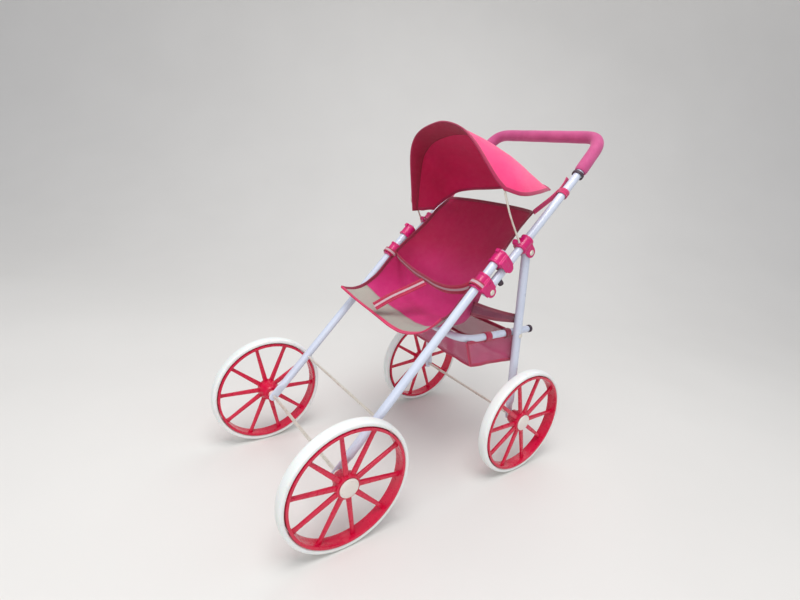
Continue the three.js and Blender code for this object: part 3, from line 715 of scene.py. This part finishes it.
def rounded_square(sides=16, power=0.55):
    turn = np.linspace(0, 2 * math.pi, sides, endpoint=False) + math.pi / sides
    return [(signed_power(math.cos(a), power), signed_power(math.sin(a), power)) for a in turn]


def hub_cap_outline():
    return [(0, 5.3), (13.9, 5.3), (14.1, 5.8), (13.8, 6.7), (12.8, 7.4), (11.6, 7.7), (11.2, 7.4),
            (10.6, 7.4), (10.2, 7.8), (6, 8.3), (0, 8.45)]


def make_wheels():
    wheel = wheel_solid()
    tyre = revolved("tyre", tyre_outline(), M["tyre"], 144, 60)
    cap = revolved("cap", hub_cap_outline(), M["cap"], 48)
    for end in ENDS:
        for side, sign in SIDES:
            key = f"{end}_{side}"
            centre = middle(f"{key}_tyre")
            out = Matrix.Translation(centre) @ Matrix.Diagonal((sign, 1, 1, 1))
            turned = out @ Matrix.Rotation(math.radians(SPOKE_TURN[key]), 4, "X")
            body = f"{key}_wheel_assembly"
            stands(copy_of(tyre, f"{key}_tyre_foam", out), body, [f"{key}_tyre"])
            stands(copy_of(wheel, f"{key}_spoked_wheel", turned), body, [f"{key}_wheel"])
            stands(copy_of(cap, f"{key}_cap", out), body, [f"{key}_hub_cap"])
    for source in (wheel, tyre, cap):
        bpy.data.objects.remove(source)


make_wheels()


# ---------------------------------------- frame tubes
def tube_leg(name, x, angle, axle_y, length, radius):
    """A straight tube whose lower end is pressed flat around the axle and whose top is plugged."""
    stations = np.concatenate([np.linspace(-8, 34, 26), np.linspace(36, length, 40)])
    line = np.array([at(x, *offset(angle, axle_y, WHEEL_R, u, 0)) for u in stations])
    total = len(stations)

    def section(t):
        u = stations[round(t * (total - 1))]
        flat = 1 - np.clip((u - 12) / 18, 0, 1)
        flat = flat * flat * (3 - 2 * flat)
        half_x = radius + (1.7 - radius) * flat
        half_w = radius + 1.2 * flat
        if u < -2:
            half_w *= math.sqrt(max(0.12, 1 - ((-2 - u) / 6.6) ** 2))
        crown = np.clip((length - u) / 2.5, 0, 1)
        round_off = 0.7 + 0.3 * math.sqrt(1 - (1 - crown) ** 2)
        return [(a * half_x * round_off * MM, b * half_w * round_off * MM) for a, b in circle(1.0, 32)]

    return sweep(name, line, section, M["frame"])


front_leg_length = LEG_TOP_Y / math.cos(LEG_ANGLE)
rear_leg_length = (REAR_PIVOT[1] - WHEEL_R) / math.sin(REAR_LEG_ANGLE) + 4
LEGS = {
    "front": (LEG_ANGLE, 0, front_leg_length, TUBE_R),
    "rear": (REAR_LEG_ANGLE, WHEELBASE, rear_leg_length, REAR_LEG_R),
}
for side, sign in SIDES:
    for end, shape in LEGS.items():
        leg = tube_leg(f"{end}_leg_tube_{side}", sign * LEG_X, *shape)
        stands(leg, f"{end}_frame", [f"{end}_leg_{side}"])

handle_end = offset(HANDLE_ANGLE, FOLD_Y, handle_z(FOLD_Y), -8, 0)
handle_corners = [
    at(HANDLE_X, *handle_end), at(HANDLE_X, *HANDLE_BEND), at(HANDLE_X, *HANDLE_BAR),
    at(-HANDLE_X, *HANDLE_BAR), at(-HANDLE_X, *HANDLE_BEND), at(-HANDLE_X, *handle_end),
]
handle_line = rounded_path(handle_corners, HANDLE_CORNER_R * MM)
handle = tube("handle_bar_tube", handle_line, TUBE_R * MM, M["frame"], 32)
stands(handle, "handle_frame", ["handle_tube"])

grip_start = (HANDLE_BEND[0] + 1, HANDLE_BEND[1] + 1.3)
grip_corners = [
    at(HANDLE_X, *grip_start), at(HANDLE_X, *HANDLE_BAR),
    at(-HANDLE_X, *HANDLE_BAR), at(-HANDLE_X, *grip_start),
]
grip_line = rounded_path(grip_corners, HANDLE_CORNER_R * MM)


def grip_section(t):
    """Foam that swells a little between the bends and is drawn in at its ends."""
    end = min(t, 1 - t) * len(grip_line)
    radius = GRIP_R * MM * (0.86 + 0.14 * min(1, end / 2.5) ** 0.5)
    return circle(radius * (1 + 0.012 * math.sin(t * 47)), 40)


grip = sweep("handle_grip_foam", grip_line, grip_section, M["grip_foam"])
stands(grip, "handle_frame", ["handle_grip"])

support_corners = [
    at(SUPPORT_X, SUPPORT_REAR_Y, SUPPORT_Z), at(SUPPORT_X, SUPPORT_FRONT_Y, SUPPORT_Z),
    at(-SUPPORT_X, SUPPORT_FRONT_Y, SUPPORT_Z), at(-SUPPORT_X, SUPPORT_REAR_Y, SUPPORT_Z),
]
support_line = rounded_path(support_corners, SUPPORT_CORNER_R * MM)
support = tube("support_bar_tube", support_line, SUPPORT_R * MM, M["frame"], 32)
stands(support, "rear_frame", ["support_tube"])


# ---------------------------------------- moulded clips
CHEEK_HALF_GAP = 7.3
CHEEK = 3.4
CHEEK_END_R = 8.6
COLLAR_R = 9.5
TUBE_BORE_R = TUBE_R + 0.15
TUBE_BORE = (-30, 30)
PIN_HOLE_R = 2.4
BOW_BOSS_X = (108.4, 118.4)
BOW_BOSS_R = 4.4
FOLD_COLLAR = offset(LEG_ANGLE, FOLD_Y, handle_z(FOLD_Y), 0, FOLD_SPACING)


def slanted(angle, y, z):
    """A matrix to the row frame from (x, along, above), in metres, at a point of the side view."""
    return Matrix.Translation(Vector(at(0, y, z))) @ Matrix.Rotation(angle, 4, "X")


def block(xs, us, ws):
    """A box in a clip's own frame: x across, u along the tube and w above it, in millimetres."""
    corners = [(x * MM, u * MM, w * MM) for x in xs for u in us for w in ws]
    faces = [(0, 1, 3, 2), (4, 6, 7, 5), (0, 4, 5, 1), (2, 3, 7, 6), (0, 2, 6, 4), (1, 5, 7, 3)]
    return piece("block", corners, faces, M["clip"])


def rod_along(x, us, radius, lips=0.0):
    """A cylinder along the tube, with a raised lip round each end where lips is above 0."""
    u0, u1 = us
    profile = [(0, u0), (radius + lips, u0), (radius + lips, u0 + 2.6), (radius, u0 + 3.6),
               (radius, u1 - 3.6), (radius + lips, u1 - 2.6), (radius + lips, u1), (0, u1)]
    made = revolved("rod", profile, M["clip"], 48)
    made.data.transform(Matrix.Translation((x * MM, 0, 0)) @ Matrix.Rotation(math.pi / 2, 4, "Z"))
    return made


def rod_across(xs, u, w, radius):
    """A cylinder across the tube."""
    made = revolved("rod", [(0, xs[0]), (radius, xs[0]), (radius, xs[1]), (0, xs[1])], M["clip"], 40)
    made.data.transform(Matrix.Translation((0, u * MM, w * MM)))
    return made


def moulded(parts, holes, name, matrix, side_sign):
    """Joins the parts, rounds every edge as a mould does, and drills the holes."""
    body = cut(parts[0], parts[1:], "UNION")
    body.modifiers.new("moulded", "REMESH").voxel_size = 0.8 * MM
    body.modifiers["moulded"].mode = "VOXEL"
    soften = body.modifiers.new("soft", "SMOOTH")
    soften.factor = 0.5
    soften.iterations = 3
    settle(body)
    cut(body, holes, "DIFFERENCE")
    place = Matrix.Diagonal((side_sign, 1, 1, 1)) @ matrix
    made = copy_of(body, name, place)
    made.data.materials.clear()
    made.data.materials.append(M["clip"])
    smooth(made.data, 50)
    bpy.data.objects.remove(body)
    return made


def clevis_parts(collar_x, fork_x, half, drop, reach):
    """A collar and two round-ended cheeks, and how far a hole through both runs in x."""
    inner = fork_x - CHEEK_HALF_GAP - CHEEK
    outer = fork_x + CHEEK_HALF_GAP + CHEEK
    parts = [
        rod_along(collar_x, (-half, half), COLLAR_R, 1.0),
        block((inner, outer), (-half + 1.5, half - 1.5), (-COLLAR_R, 2)),
    ]
    for low in (inner, outer - CHEEK):
        high = low + CHEEK
        parts.append(block((low, high), (-half + 2, half - 2), (-drop, 0)))
        parts.append(rod_across((low, high), 0, -drop, reach))
        parts.append(block((low - 0.9, high + 0.9), (-1.3, 1.3), (-drop + reach, -2)))
    return parts, (inner - 5, outer + 5)


def fold_joint(name, sign):
    parts, through = clevis_parts(LEG_X, HANDLE_X, 13, FOLD_SPACING, CHEEK_END_R)
    holes = [rod_along(LEG_X, TUBE_BORE, TUBE_BORE_R), rod_across(through, 0, -FOLD_SPACING, PIN_HOLE_R)]
    return moulded(parts, holes, name, slanted(LEG_ANGLE, *FOLD_COLLAR), sign)


def latch_clip(name, sign):
    y = LEG_TOP_Y - 9
    drop = (leg_z(y) - handle_z(y)) * math.cos(LEG_ANGLE)
    parts, _ = clevis_parts(LEG_X, HANDLE_X, 11, drop, 7)
    parts.append(block((LEG_X - 3, LEG_X + 3), (4, 10), (6, 13)))
    holes = [rod_along(LEG_X, TUBE_BORE, TUBE_BORE_R)]
    return moulded(parts, holes, name, slanted(LEG_ANGLE, y, leg_z(y)), sign)


def rear_bracket(name, sign):
    """The rear leg's bracket, with a boss for the canopy wire."""
    parts, through = clevis_parts(HANDLE_X, LEG_X, 11, REAR_PIVOT_DROP, CHEEK_END_R)
    u, w = BOW_PIVOT_SHIFT
    parts.append(rod_across(BOW_BOSS_X, u, w - 1, BOW_BOSS_R))
    parts.append(block(BOW_BOSS_X, (u - 4.2, u + 4.2), (5, w - 1)))
    holes = [rod_along(HANDLE_X, TUBE_BORE, TUBE_BORE_R),
             rod_across(through, 0, -REAR_PIVOT_DROP, PIN_HOLE_R), rod_across(through, u, w, BOW_R + 0.2)]
    place = slanted(HANDLE_ANGLE, REAR_BRACKET_Y, handle_z(REAR_BRACKET_Y))
    return moulded(parts, holes, name, place, sign)


for side, sign in SIDES:
    for make, label, body, node in (
        (fold_joint, "fold_joint", "front_frame", "fold_joint"),
        (latch_clip, "latch_clip", "front_frame", "latch_clip"),
        (rear_bracket, "rear_bracket", "handle_frame", "rear_leg_bracket"),
    ):
        stands(make(f"{label}_moulding_{side}", sign), body, [f"{node}_{side}"])


# ---------------------------------------- canopy
HOOD_COLUMNS = 72
HOOD_ROWS = 34
FACING_ROWS = 8
HOOD_FRONT = [(-97, 242, 420), (-95, 231, 466), (-90, 219, 512), (-81, 215, 537), (-60, 211, 552),
              (-30, 210, 562), (0, 208, 565), (40, 205, 557), (70, 206, 538), (95, 213, 510),
              (108, 221, 492), (117, 233, 479)]
HOOD_MIDDLE = [(-98, 262, 421), (-98, 260, 458), (-95, 260, 494), (-87, 260, 516), (-62, 262, 530),
               (-30, 264, 538), (0, 262, 541), (42, 262, 541), (72, 262, 533), (100, 260, 514),
               (119, 258, 494), (129, 259, 473)]
HOOD_BACK = [(-97, 278, 423), (-97, 286, 448), (-94, 296, 472), (-85, 302, 489), (-60, 308, 500),
             (-30, 310, 507), (0, 311, 511), (44, 310, 513), (76, 307, 512), (100, 303, 504),
             (117, 300, 491), (126, 298, 478)]
HOOD_REAR = [(-96, 290, 424), (-94, 303, 436), (-90, 318, 448), (-80, 330, 459), (-56, 339, 466),
             (-28, 343, 470), (0, 345, 474), (42, 344, 481), (74, 342, 487), (96, 339, 489),
             (109, 336, 487), (116, 333, 484)]


def hood_grid():
    """The hood between its front edge, which the wire holds up, and its rear hem."""
    ribs = [spline(rib, HOOD_COLUMNS) for rib in (HOOD_FRONT, HOOD_MIDDLE, HOOD_BACK, HOOD_REAR)]
    grid = np.zeros((HOOD_ROWS, HOOD_COLUMNS, 3))
    for j in range(HOOD_COLUMNS):
        grid[:, j] = spline([rib[j] for rib in ribs], HOOD_ROWS)
    for i in range(HOOD_ROWS):
        v = i / (HOOD_ROWS - 1)
        for j in range(HOOD_COLUMNS):
            u = j / (HOOD_COLUMNS - 1)
            free = math.sin(math.pi * v) ** 0.7
            pull = noise.noise(Vector((u * 7, v * 2.2, 3.1))) * 2.2
            pull += noise.noise(Vector((u * 17 + v * 4, v * 3, 8.4))) * 0.9
            grid[i, j, 2] += free * pull
            grid[i, j, 1] += free * pull * 0.4
    return np.array([[at(*p) for p in row] for row in grid])


hood = hood_grid()
hood_cloth = grid_piece(
    "canopy_hood_cloth", hood, [M["canopy_fabric"], M["canopy_lining_and_painted_shade"], M["canopy_binding"]], 0.9 * MM)
stands(hood_cloth, "canopy", ["canopy_hood"])
HOOD_EDGES = {"front": "first_row", "rear": "last_row", "right": "first_column", "left": "last_column"}
for label, edge in HOOD_EDGES.items():
    outer, inward = inward_of(hood, edge)
    trim = binding(f"canopy_binding_{label}", outer, inward, 5.5 * MM, 2.4 * MM, M["canopy_binding"])
    stands(trim, "canopy", [])


def hood_facing():
    """The strip sewn inside the hood's front edge, which makes the sleeve for the wire; its colour, darker
    than the lining, is painted shade along the front edge.
    """
    rows = hood[:FACING_ROWS]
    along = np.gradient(rows, axis=1)
    back = np.gradient(rows, axis=0)
    inside = unit(np.cross(back, along))
    towards = np.sign((inside * (at(0, 262, 440) - rows)).sum(2))[:, :, None]
    swell = np.sin(np.linspace(0, math.pi, FACING_ROWS))[:, None, None] * 1.6 * MM
    made = grid_piece("canopy_front_facing", rows + inside * towards * (1.1 * MM + swell),
                      [M["canopy_facing_and_painted_shade"]], 0.8 * MM)
    return stands(made, "canopy", [])


hood_facing()

bow_points = [at(120, *BOW_PIVOT), at(119, 266, 424), at(118, 250, 447)]
front_wire = spline([at(*p) for p in HOOD_FRONT[::-1]], 90)[1:80] + np.array([0, 0.0028, -0.0012])
bow_line = np.vstack([
    np.array(bow_points), front_wire,
    [at(-101, 240, 436), at(-112, 262, 424), at(-120, *BOW_PIVOT)],
])
bow_path = spline(bow_line, 220)
bow_end = [at(108, *BOW_PIVOT), at(118, *BOW_PIVOT)]
bow_start = [at(-118, *BOW_PIVOT), at(-108, *BOW_PIVOT)]
bow_whole = rounded_path([bow_end[0], *bow_path[::3], bow_start[1]], 1.2 * MM, 1.5 * MM)
bow = tube("canopy_bow_wire", bow_whole, BOW_R * MM, M["zinc"], 16, (0, 0, 1))
stands(bow, "canopy", ["canopy_bow"])


# ---------------------------------------- seat
SEAT_COLUMNS = 61
SEAT_ROWS = 110
SEAT_CENTRE = [(136, 254), (144, 255), (156, 256), (180, 256), (214, 256.5), (238, 260), (250, 275),
               (256, 300), (263, 324), (292, 359), (319, 402), (345, 450)]
SEAT_NEAR = [(158, 292), (164, 292), (172, 295), (182, 304), (190, 314), (206, 333), (224, 352), (240, 366),
             (256, 379), (276, 397), (300, 424), (328, 447)]
SEAT_FAR = [(110, 286), (124, 281), (142, 282), (160, 289), (184, 306), (206, 333), (224, 352), (240, 366),
            (256, 379), (276, 397), (300, 424), (328, 447)]
SEAT_NEAR_POWER = [2.6, 2.6, 2.7, 3.2, 3.8, 4.4, 4.6, 4.2, 3.2, 2.6, 2.2, 2.0]
SEAT_FAR_POWER = [1.15, 1.3, 1.6, 2.4, 3.6, 4.4, 4.6, 4.2, 3.2, 2.6, 2.2, 2.0]
SEAT_HALF = [104, 104, 104, 104, 104, 104, 104, 103.5, 103, 102, 100, 98]


def eased(values, at_rows):
    """Values for each row from the ones given at the control points, smoothed between them."""
    out = np.interp(at_rows, np.arange(len(values)), values)
    out[1:-1] = np.convolve(np.pad(out, 3, "edge"), np.ones(7) / 7, "valid")[1:-1]
    return out


def seat_grid():
    """The sling from its front lip to its top edge, hung between the tubes on each side."""
    centre = spline([(0, *p) for p in SEAT_CENTRE], SEAT_ROWS)
    run = lengths(np.array(SEAT_CENTRE, float))
    control = np.interp(np.linspace(0, run[-1], SEAT_ROWS), run, np.arange(len(SEAT_CENTRE)))
    half = eased(SEAT_HALF, control)
    edges = {
        1: [eased(v, control) for v in (*zip(*SEAT_NEAR), SEAT_NEAR_POWER)],
        -1: [eased(v, control) for v in (*zip(*SEAT_FAR), SEAT_FAR_POWER)],
    }
    grid = np.zeros((SEAT_ROWS, SEAT_COLUMNS, 3))
    for i in range(SEAT_ROWS):
        v = i / (SEAT_ROWS - 1)
        for j in range(SEAT_COLUMNS):
            u = 2 * j / (SEAT_COLUMNS - 1) - 1
            edge_y, edge_z, power = edges[1 if u >= 0 else -1]
            share = abs(u) ** power[i]
            x = half[i] * math.sin(u * 1.25) / math.sin(1.25)
            y = centre[i, 1] + (edge_y[i] - centre[i, 1]) * share
            z = centre[i, 2] + (edge_z[i] - centre[i, 2]) * share
            free = (1 - u * u) ** 0.5 * min(1, 12 * (1 - v)) * min(1, 0.3 + 9 * v)
            wave = noise.noise(Vector((u * 2.1, v * 5.5, 1.7))) * 4.2
            wave += noise.noise(Vector((u * 5, v * 13, 6.2))) * 1.7
            lip = max(0, 1 - v * 12)
            z += free * wave - lip * 5 * math.exp(-(((u - 0.35) / 0.4) ** 2))
            grid[i, j] = at(x, y, z)
    return grid


def seat_panel(grid):
    """How far each point lies in front of the seam of the grey front panel, in metres."""
    depth = lengths(grid[:, SEAT_COLUMNS // 2])
    across = np.linspace(-1, 1, SEAT_COLUMNS)
    seam = (36 + 14 * np.cos(across * 1.7 + 0.5)) * MM
    return seam[None, :] - depth[:, None]


seat = seat_grid()
seat_cloth_piece = grid_piece(
    "seat_sling", seat, [M["seat_fabric"]], 1.3 * MM, seat_panel(seat))
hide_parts("seat_base", "seat_back")


def across_fold(part):
    """Bakes the seat piece's placement into its mesh."""
    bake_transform(part)


across_fold(seat_cloth_piece)
seat_trims = []
for label, edge, material, width in (
    ("lip", "first_row", "binding", 7), ("top", "last_row", "dark_binding", 6),
    ("edge_right", "first_column", "dark_binding", 6), ("edge_left", "last_column", "dark_binding", 6),
):
    place, _, side = label.partition("_")
    name = f"seat_{place}_binding_{side}".rstrip("_")
    seat_trims.append(binding(name, *inward_of(seat, edge), width * MM, 2.8 * MM, M[material]))
    across_fold(seat_trims[-1])


# ---------------------------------------- harness and ties
WAIST = [(-113, 219, 347), (-100, 222, 336), (-70, 221, 327), (-36, 216, 322), (0, 211, 320),
         (30, 208, 318), (60, 207, 320), (88, 209, 328), (104, 215, 339), (113, 219, 347)]
CROTCH = [(0, 207, 316), (-7, 184, 304), (-17, 156, 289), (-26, 131, 272)]
for label, points, count, hint in (
    ("waist", WAIST, 90, (0, -0.45, 0.9)), ("crotch", CROTCH, 60, (0.85, 0, -0.5)),
):
    line = spline([at(*p) for p in points], count)
    belt = webbing(f"{label}_belt", line, STRAP_WIDTH, 1.8 * MM, M["belt"], hint)
    stands(belt, "front_frame", [f"harness_{label}_strap"])


def belt_loop(side, sign):
    """The belt's end, sewn over the top of the fold joint's collar; the handle tube turns below it."""
    line = []
    for a in np.radians(np.linspace(-32, 212, 40)):
        reach = 12.2 - 1.4 * max(0, -math.sin(a)) / math.sin(math.radians(32))
        y, z = offset(LEG_ANGLE, *FOLD_COLLAR, -6, reach * math.sin(a))
        line.append(at(sign * (LEG_X + reach * math.cos(a)), y, z))
    normal = (0, math.cos(LEG_ANGLE), math.sin(LEG_ANGLE))
    made = webbing(f"belt_loop_{side}", line, 9 * MM, 1.4 * MM, M["belt"], normal)
    stands(made, "front_frame", [])


TIE_Y = 369


def seat_tie(side, sign):
    """The tape from the seat's top corner, up the handle tube and round it."""
    y = TIE_Y
    across = (0, 0.7, -0.7)
    points = [at(sign * 98, 329, 447), at(sign * 102, 341, 458), at(sign * 106, 356, 471),
              at(sign * 109.5, y - 2, handle_z(y) + 3)]
    end = [at(sign * 109, y + u, handle_z(y) + w) for u, w in ((0, 4), (9, 15), (13, 24))]
    loop = []
    for a in np.linspace(0, 2 * math.pi, 36, endpoint=False):
        radius = TUBE_R + 1.3
        loop.append(at(sign * (HANDLE_X + radius * math.cos(a)),
                       *offset(HANDLE_ANGLE, y, handle_z(y), 0, radius * math.sin(a))))
    along_tube = (0, math.cos(HANDLE_ANGLE), math.sin(HANDLE_ANGLE))
    tail = webbing(f"seat_tie_tail_{side}", spline(points, 30), 9 * MM, 1.5 * MM, M["tie"], across)
    stands(tail, "handle_frame", [f"seat_tie_{side}"])
    round_tube = webbing(f"seat_tie_loop_{side}", loop, 10 * MM, 1.5 * MM, M["tie"], along_tube, True)
    stands(round_tube, "handle_frame", [])
    free_end = webbing(f"seat_tie_end_{side}", spline(end, 16), 8 * MM, 1.4 * MM, M["tie"], across)
    stands(free_end, "handle_frame", [])


for side, sign in SIDES:
    belt_loop(side, sign)
    seat_tie(side, sign)


def stay_band(side, sign):
    """A mesh band with bound edges, from the seat's side back to the rear leg."""
    rows, columns = 40, 9
    grid = np.zeros((rows, columns, 3))
    for i in range(rows):
        t = i / (rows - 1)
        y, z = 221 + 110 * t, 301 - 29 * t - 2 * math.sin(math.pi * t)
        half = 10 - 3.5 * t
        for j in range(columns):
            w = (2 * j / (columns - 1) - 1) * half
            grid[i, j] = at(sign * (103.2 + 1.2 * math.sin(9 * t) * (w / 10)), y + 0.27 * w, z + w)
    band = grid_piece(f"stay_band_{side}", grid, [M["band_mesh"]], 0.9 * MM)
    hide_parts(f"stay_strap_{side}")
    trims = []
    for label, edge in (("low", "first_column"), ("high", "last_column")):
        outer, inward = inward_of(grid, edge)
        trims.append(binding(f"stay_band_{label}_{side}", outer, inward, 5 * MM, 2.0 * MM, M["dark_binding"]))
    for part in (band, *trims):
        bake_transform(part)


for side, sign in SIDES:
    stay_band(side, sign)


BASKET_HALF = 102.5
BASKET_RIM_Z = 243.5


def basket_panel(corners, rows, columns, bulge):
    """A mesh panel between four corners, pushed out at its middle by the bulge vector."""
    a, b, c, d = (np.array(p, float) for p in corners)
    grid = np.zeros((rows, columns, 3))
    for i in range(rows):
        for j in range(columns):
            v, u = i / (rows - 1), j / (columns - 1)
            p = (1 - v) * ((1 - u) * a + u * b) + v * ((1 - u) * d + u * c)
            belly = math.sin(math.pi * u) * math.sin(math.pi * v)
            grid[i, j] = at(*(slack(p) + belly * np.array(bulge)))
    return grid


def slack(p):
    """Where a point of the basket hangs: the rim is held by the support tube, and the floor gives."""
    p = np.array(p, float)
    low = (BASKET_RIM_Z - p[2]) / 45
    drift = np.array([noise.noise(Vector(p / 34 + np.array(k))) for k in ((3, 1, 7), (9, 4, 2), (5, 8, 6))])
    return p + drift * np.array([2.0, 2.5, 3.2]) * low


front_top, front_low, rear_low, rear_top = (
    [(-BASKET_HALF, y, z), (BASKET_HALF, y, z)]
    for y, z in ((222, BASKET_RIM_Z), (238, 203.5), (335, 198.5), (336, BASKET_RIM_Z))
)
basket_panels = {
    "front": ((*front_top, *front_low[::-1]), 18, 60, (0, -3.5, -1), (0.205, 0.042)),
    "floor": ((*front_low, *rear_low[::-1]), 34, 60, (0, 0, -4), (0.205, 0.098)),
    "rear": ((*rear_low, *rear_top[::-1]), 18, 60, (0, 2.5, -1), (0.205, 0.046)),
    "left": ((front_top[1], rear_top[1], rear_low[1], front_low[1]), 18, 34, (-3, 0, -1), (0.106, 0.044)),
    "right": ((front_top[0], rear_top[0], rear_low[0], front_low[0]), 18, 34, (3, 0, -1), (0.106, 0.044)),
}
for label, (corners, rows, columns, bulge, flat) in basket_panels.items():
    net = grid_piece(f"basket_{label}", basket_panel(corners, rows, columns, bulge), [M["mesh"]], 0.8 * MM)
    stands(net, "rear_frame", ["basket"] if label == "floor" else [])


def piping(name, points, width=5.5):
    coarse = resampled(np.array(points, float), 90)
    line = np.array([at(*slack(p)) for p in coarse])
    made = webbing(name, line, width * MM, 2.4 * MM, M["basket_binding"], (0, 0, 1))
    stands(made, "rear_frame", [])


for side, sign in SIDES:
    i = 1 if sign > 0 else 0
    piping(f"basket_side_piping_{side}", [front_top[i], front_low[i], rear_low[i], rear_top[i]])
    piping(f"basket_rim_piping_{side}", [front_top[i], rear_top[i]], 6.5)
piping("basket_front_piping", front_low)
piping("basket_rear_piping", rear_low)
piping("basket_rear_rim_piping", rear_top, 6.5)


def tape_round_arm(name, sign, y, width, material):
    """A loop of tape round one arm of the support tube."""
    r = SUPPORT_R + 1.2
    line = [at(sign * SUPPORT_X + r * math.cos(a), y, SUPPORT_Z + r * 1.08 * math.sin(a) - 0.8)
            for a in np.linspace(0, 2 * math.pi, 36, endpoint=False)]
    made = webbing(name, line, width * MM, 1.8 * MM, material, (0, 1, 0), True)
    stands(made, "rear_frame", [])


for side, sign in SIDES:
    tape_round_arm(f"basket_loop_front_{side}", sign, 267, 14, M["basket_binding"])
    tape_round_arm(f"basket_loop_rear_{side}", sign, 313, 13, M["dark_binding"])


# ---------------------------------------- CAD nodes that stay
KEPT = {"zinc": ["front_axle", "rear_axle", "front_cross_rod"], "cap": [], "dark_plastic": []}
for side, _ in SIDES:
    KEPT["zinc"] += [f"fold_pin_{side}", f"rear_leg_pin_{side}", f"support_pin_{side}"]
    KEPT["dark_plastic"] += [f"latch_stud_{side}", f"support_end_cap_{side}", f"grip_end_ring_{side}"]
    KEPT["cap"] += [f"{end}_{side}_axle_spacer" for end in ENDS]
for slot, names in KEPT.items():
    for name in names:
        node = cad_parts[name]
        node.data.materials.clear()
        node.data.materials.append(M[slot])
        smooth(node.data, 40)


# ---------------------------------------- studio
def floor_material():
    n = Nodes("pale_floor", 0.7)
    patches = n.ramp(n.noise(3, 4.0), 0.3, 0.7, 0.0, 0.25)
    n.set("Base Color", n.mix(patches, colour(226, 224, 220), colour(214, 212, 208)))
    return n.material


def studio():
    """A pale floor that turns up into a wall through a wide curve, behind the part as the camera sees it."""
    reach, bend, wall = 6.0, 1.6, 2.4
    turn = np.linspace(0, math.pi / 2, 40)
    line = [(-reach, 0.0), (wall - bend, 0.0)]
    line += [(wall - bend + bend * math.sin(a), bend - bend * math.cos(a)) for a in turn[1:]]
    line.append((wall, reach))
    verts = [(x, y, z) for y, z in line for x in (-reach, reach)]
    faces = [(2 * i, 2 * i + 1, 2 * i + 3, 2 * i + 2) for i in range(len(line) - 1)]
    mesh = new_mesh("studio_floor", verts, faces, [floor_material()])
    mesh.shade_smooth()
    floor = new_object("studio_floor", mesh)
    floor.matrix_world = Matrix.Rotation(math.radians(52), 4, "Z") @ Matrix.Translation((0, 0, -0.0003))


def light(name, place, target, size, power, tint=(1, 1, 1)):
    lamp = bpy.data.lights.new(name, "AREA")
    lamp.shape = "DISK"
    lamp.size = size
    lamp.energy = power
    lamp.color = tint
    made = new_object(name, lamp)
    made.location = place
    made.rotation_mode = "QUATERNION"
    made.rotation_quaternion = (Vector(target) - Vector(place)).to_track_quat("-Z", "Y")


studio()
middle_of_stroller = (0, 0, 0.3)
light("key", (0.5, -0.5, 2.1), middle_of_stroller, 1.3, 28)
light("fill", (1.8, -1.6, 1.0), middle_of_stroller, 1.8, 12, (1.0, 0.98, 0.95))
light("back", (-0.7, 0.9, 2.2), middle_of_stroller, 1.6, 8)
world = bpy.data.worlds.new("studio")
world.use_nodes = True
sky = world.node_tree.nodes["Background"]
sky.inputs["Color"].default_value = (0.92, 0.94, 1.0, 1)
sky.inputs["Strength"].default_value = 0.55
bpy.context.scene.world = world
bpy.context.scene.view_settings.view_transform = "Standard"

CAMERA_PLACE = Vector((560.9, -448.3, 498.5)) * MM
CAMERA_AZIMUTH = math.radians(52.58)
CAMERA_PITCH = math.radians(16.58)
CAMERA_ROLL = math.radians(6.30)
CAMERA_LENS = 20.57

camera = new_object("camera", bpy.data.cameras.new("camera"))
back = Vector((math.sin(CAMERA_AZIMUTH) * math.cos(CAMERA_PITCH),
               -math.cos(CAMERA_AZIMUTH) * math.cos(CAMERA_PITCH), math.sin(CAMERA_PITCH)))
level_right = (-back).cross(Vector((0, 0, 1))).normalized()
level_up = level_right.cross(-back)
right = level_right * math.cos(CAMERA_ROLL) + level_up * math.sin(CAMERA_ROLL)
up = level_up * math.cos(CAMERA_ROLL) - level_right * math.sin(CAMERA_ROLL)
camera.matrix_world = Matrix.Translation(CAMERA_PLACE) @ Matrix((right, up, back)).transposed().to_4x4()
camera.data.lens = CAMERA_LENS
camera.data.clip_start = 0.01
bpy.context.scene.camera = camera
